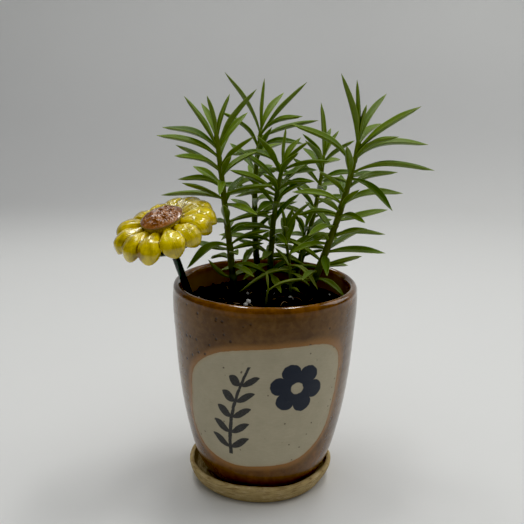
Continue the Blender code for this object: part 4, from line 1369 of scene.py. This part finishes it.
def buildStake():
    middle, _, _, out = flowerFrame()
    top = hub["back"] - gap - calyx["thickness"] - calyx["socketLength"] + calyx["socketDepth"] - gap
    foot = (stake["foot"] - middle).dot(out) - stake["depth"]
    radius, shaft = stake["radius"], foot + stake["point"]
    line = [(0.0, foot), (radius * 0.4, foot), (radius, shaft)]
    line += [(radius, shaft + (top - shaft) * n / 40) for n in range(1, 41)] + [(0.0, top)]
    points, faces = turned(line, 32)
    for point in points:
        point[:2] *= 1 + 0.03 * noise.noise(Vector(point) / mm * 0.3)
    mesh = makeMesh("stakeMesh", points, faces)
    faceOut(mesh)
    green = plainMaterial("stakeGreen", stake["green"], 0.25, 0.22, 0.0003)
    addPiece("flower_stake_rod", mesh, green, "flower_stake", flowerPlace())


def buildFlower():
    buildPetals()
    buildDisc()
    buildCalyx()
    buildStake()
    print("flower made")


# Studio: a pale sweep, soft light from above and behind, and the camera where the photograph was taken

studio = {
    "floorFront": -1.6,
    "floorBack": 0.75,
    "sweepRadius": 0.45,
    "wallTop": 2.4,
    "halfWidth": 2.2,
    "paper": (0.715, 0.715, 0.695),
    # painted shade on the far sweep and the wall
    "paperFarShade": (0.56, 0.56, 0.55),
    "paperNearShade": (0.36, 0.35, 0.34),  # painted shade: out of view, dimmer as the room behind the viewer
    "farShadeFade": (550, 1050),  # millimetres back, where painted shade darkens the sweep as it turns into the wall
    "upperLightFade": (60, 320),  # millimetres up the wall, where painted light makes it paler again higher up
    "nearShadeFade": (-70, -500),
    "lights": [
        # name, place, aim, size, watts, whether it shows in glossy surfaces
        ("overhead", (0.05, -0.12, 1.15), (0.0, 0.0, 0.05), (1.1, 1.0), 4.4, False),
        ("stripLeft", (-0.24, 0.2, 1.1), (-0.24, 0.0, 0.1), (0.12, 0.42), 2.2, True),
        ("stripRight", (0.27, 0.2, 1.1), (0.27, 0.0, 0.1), (0.12, 0.42), 2.4, True),
        ("farPanel", (-0.45, 0.75, 0.9), (-0.05, 0.0, 0.15), (0.16, 0.16), 0.7, True),
        ("window", (0.95, 0.35, 0.75), (0.0, 0.0, 0.12), (0.7, 0.7), 2.3, True),
        ("wallWash", (1.0, 0.5, 1.1), (0.5, 1.2, 0.75), (0.5, 0.5), 0.8, False),
    ],
    "sky": (0.72, 0.74, 0.76),
    "skyStrength": 0.33,
}

view = {
    "focalPixels": 850,
    "photoPixels": 524,  # the photograph's width
    "sensor": 36,
    "place": (0, -0.443, 0.2408),
    "down": 14.67,  # degrees, as the tilt and the turn
    "tilt": 1.0,
    "turn": -0.26,
    "black": (0.006, 0.006, 0.006),
}


def buildSweep():
    line = [(studio["floorFront"], 0.0), (studio["floorBack"], 0.0)]
    radius = studio["sweepRadius"]
    for n in range(1, 17):
        turn = math.pi / 2 * n / 16
        line.append((studio["floorBack"] + radius * math.sin(turn), radius * (1 - math.cos(turn))))
    line.append((studio["floorBack"] + radius, studio["wallTop"]))
    wide = studio["halfWidth"]
    points = [(x, y, z) for y, z in line for x in (-wide, wide)]
    faces = [(2 * n, 2 * n + 1, 2 * n + 3, 2 * n + 2) for n in range(len(line) - 1)]
    mesh = makeMesh("sweepMesh", points, faces)
    sweep = bpy.data.objects.new("sweep", mesh)
    bpy.context.scene.collection.objects.link(sweep)
    made, shader, place = startMaterial("paper")
    x, y, z = apart(place)
    faint = grain(place, 0.012, 4, 0.6)
    # painted shade darkens the sweep towards the wall, and painted light makes the wall paler higher up and
    # to the right
    far = ease(y - x * 0.5, *studio["farShadeFade"])
    high = ease(z, *studio["upperLightFade"]) * (0.5 + 0.4 * ease(x, 100, 400))
    colour = blendColours(studio["paperFarShade"], studio["paper"], 1 - far + high + (faint - 0.5) * 0.1)
    setShader(shader, {
        # painted shade on the sweep near the viewer, out of view
        "Base Color": blendColours(colour, studio["paperNearShade"], ease(y, *studio["nearShadeFade"])),
        "Roughness": 0.62,
    })
    mesh.materials.append(made)
    print("sweep made")


def buildLights():
    for name, place, aim, size, watts, shows in studio["lights"]:
        light = bpy.data.lights.new(name, "AREA")
        light.shape = "RECTANGLE"
        light.size, light.size_y = size
        light.energy = watts
        lamp = bpy.data.objects.new(name, light)
        lamp.location = place
        lamp.rotation_euler = (Vector(aim) - Vector(place)).to_track_quat("-Z", "Y").to_euler()
        lamp.visible_glossy = shows
        bpy.context.scene.collection.objects.link(lamp)
    world = bpy.data.worlds.new("studio")
    world.use_nodes = True
    world.node_tree.nodes["Background"].inputs["Color"].default_value = (*studio["sky"], 1)
    world.node_tree.nodes["Background"].inputs["Strength"].default_value = studio["skyStrength"]
    bpy.context.scene.world = world
    world.cycles_visibility.glossy = False  # the glazes mirror the lamps and the table, not the grey sky
    print("lights placed")


def buildCamera():
    camera = bpy.data.cameras.new("camera")
    camera.lens = view["focalPixels"] / view["photoPixels"] * view["sensor"]
    camera.sensor_width = view["sensor"]
    down, tilt, turn = (math.radians(view[name]) for name in ("down", "tilt", "turn"))
    forward = Vector((math.sin(turn) * math.cos(down), math.cos(turn) * math.cos(down), -math.sin(down)))
    right = Vector((math.cos(turn), -math.sin(turn), 0))
    up = right.cross(forward)
    across = right * math.cos(tilt) + up * math.sin(tilt)
    above = up * math.cos(tilt) - right * math.sin(tilt)
    holder = bpy.data.objects.new("camera", camera)
    place = Matrix((across, above, -forward)).transposed().to_4x4()
    place.translation = view["place"]
    holder.matrix_world = place
    bpy.context.scene.collection.objects.link(holder)
    bpy.context.scene.camera = holder
    print("camera placed")


def setTones():  # the photograph's darkest parts are black
    shown = bpy.context.scene.view_settings
    shown.view_transform = "Standard"
    shown.use_curve_mapping = True
    shown.curve_mapping.black_level = view["black"]
    shown.curve_mapping.update()


setTones()
buildCamera()
buildSweep()
buildLights()
buildSaucer()
buildPot()
buildSoil()
buildShoots()
buildFlower()
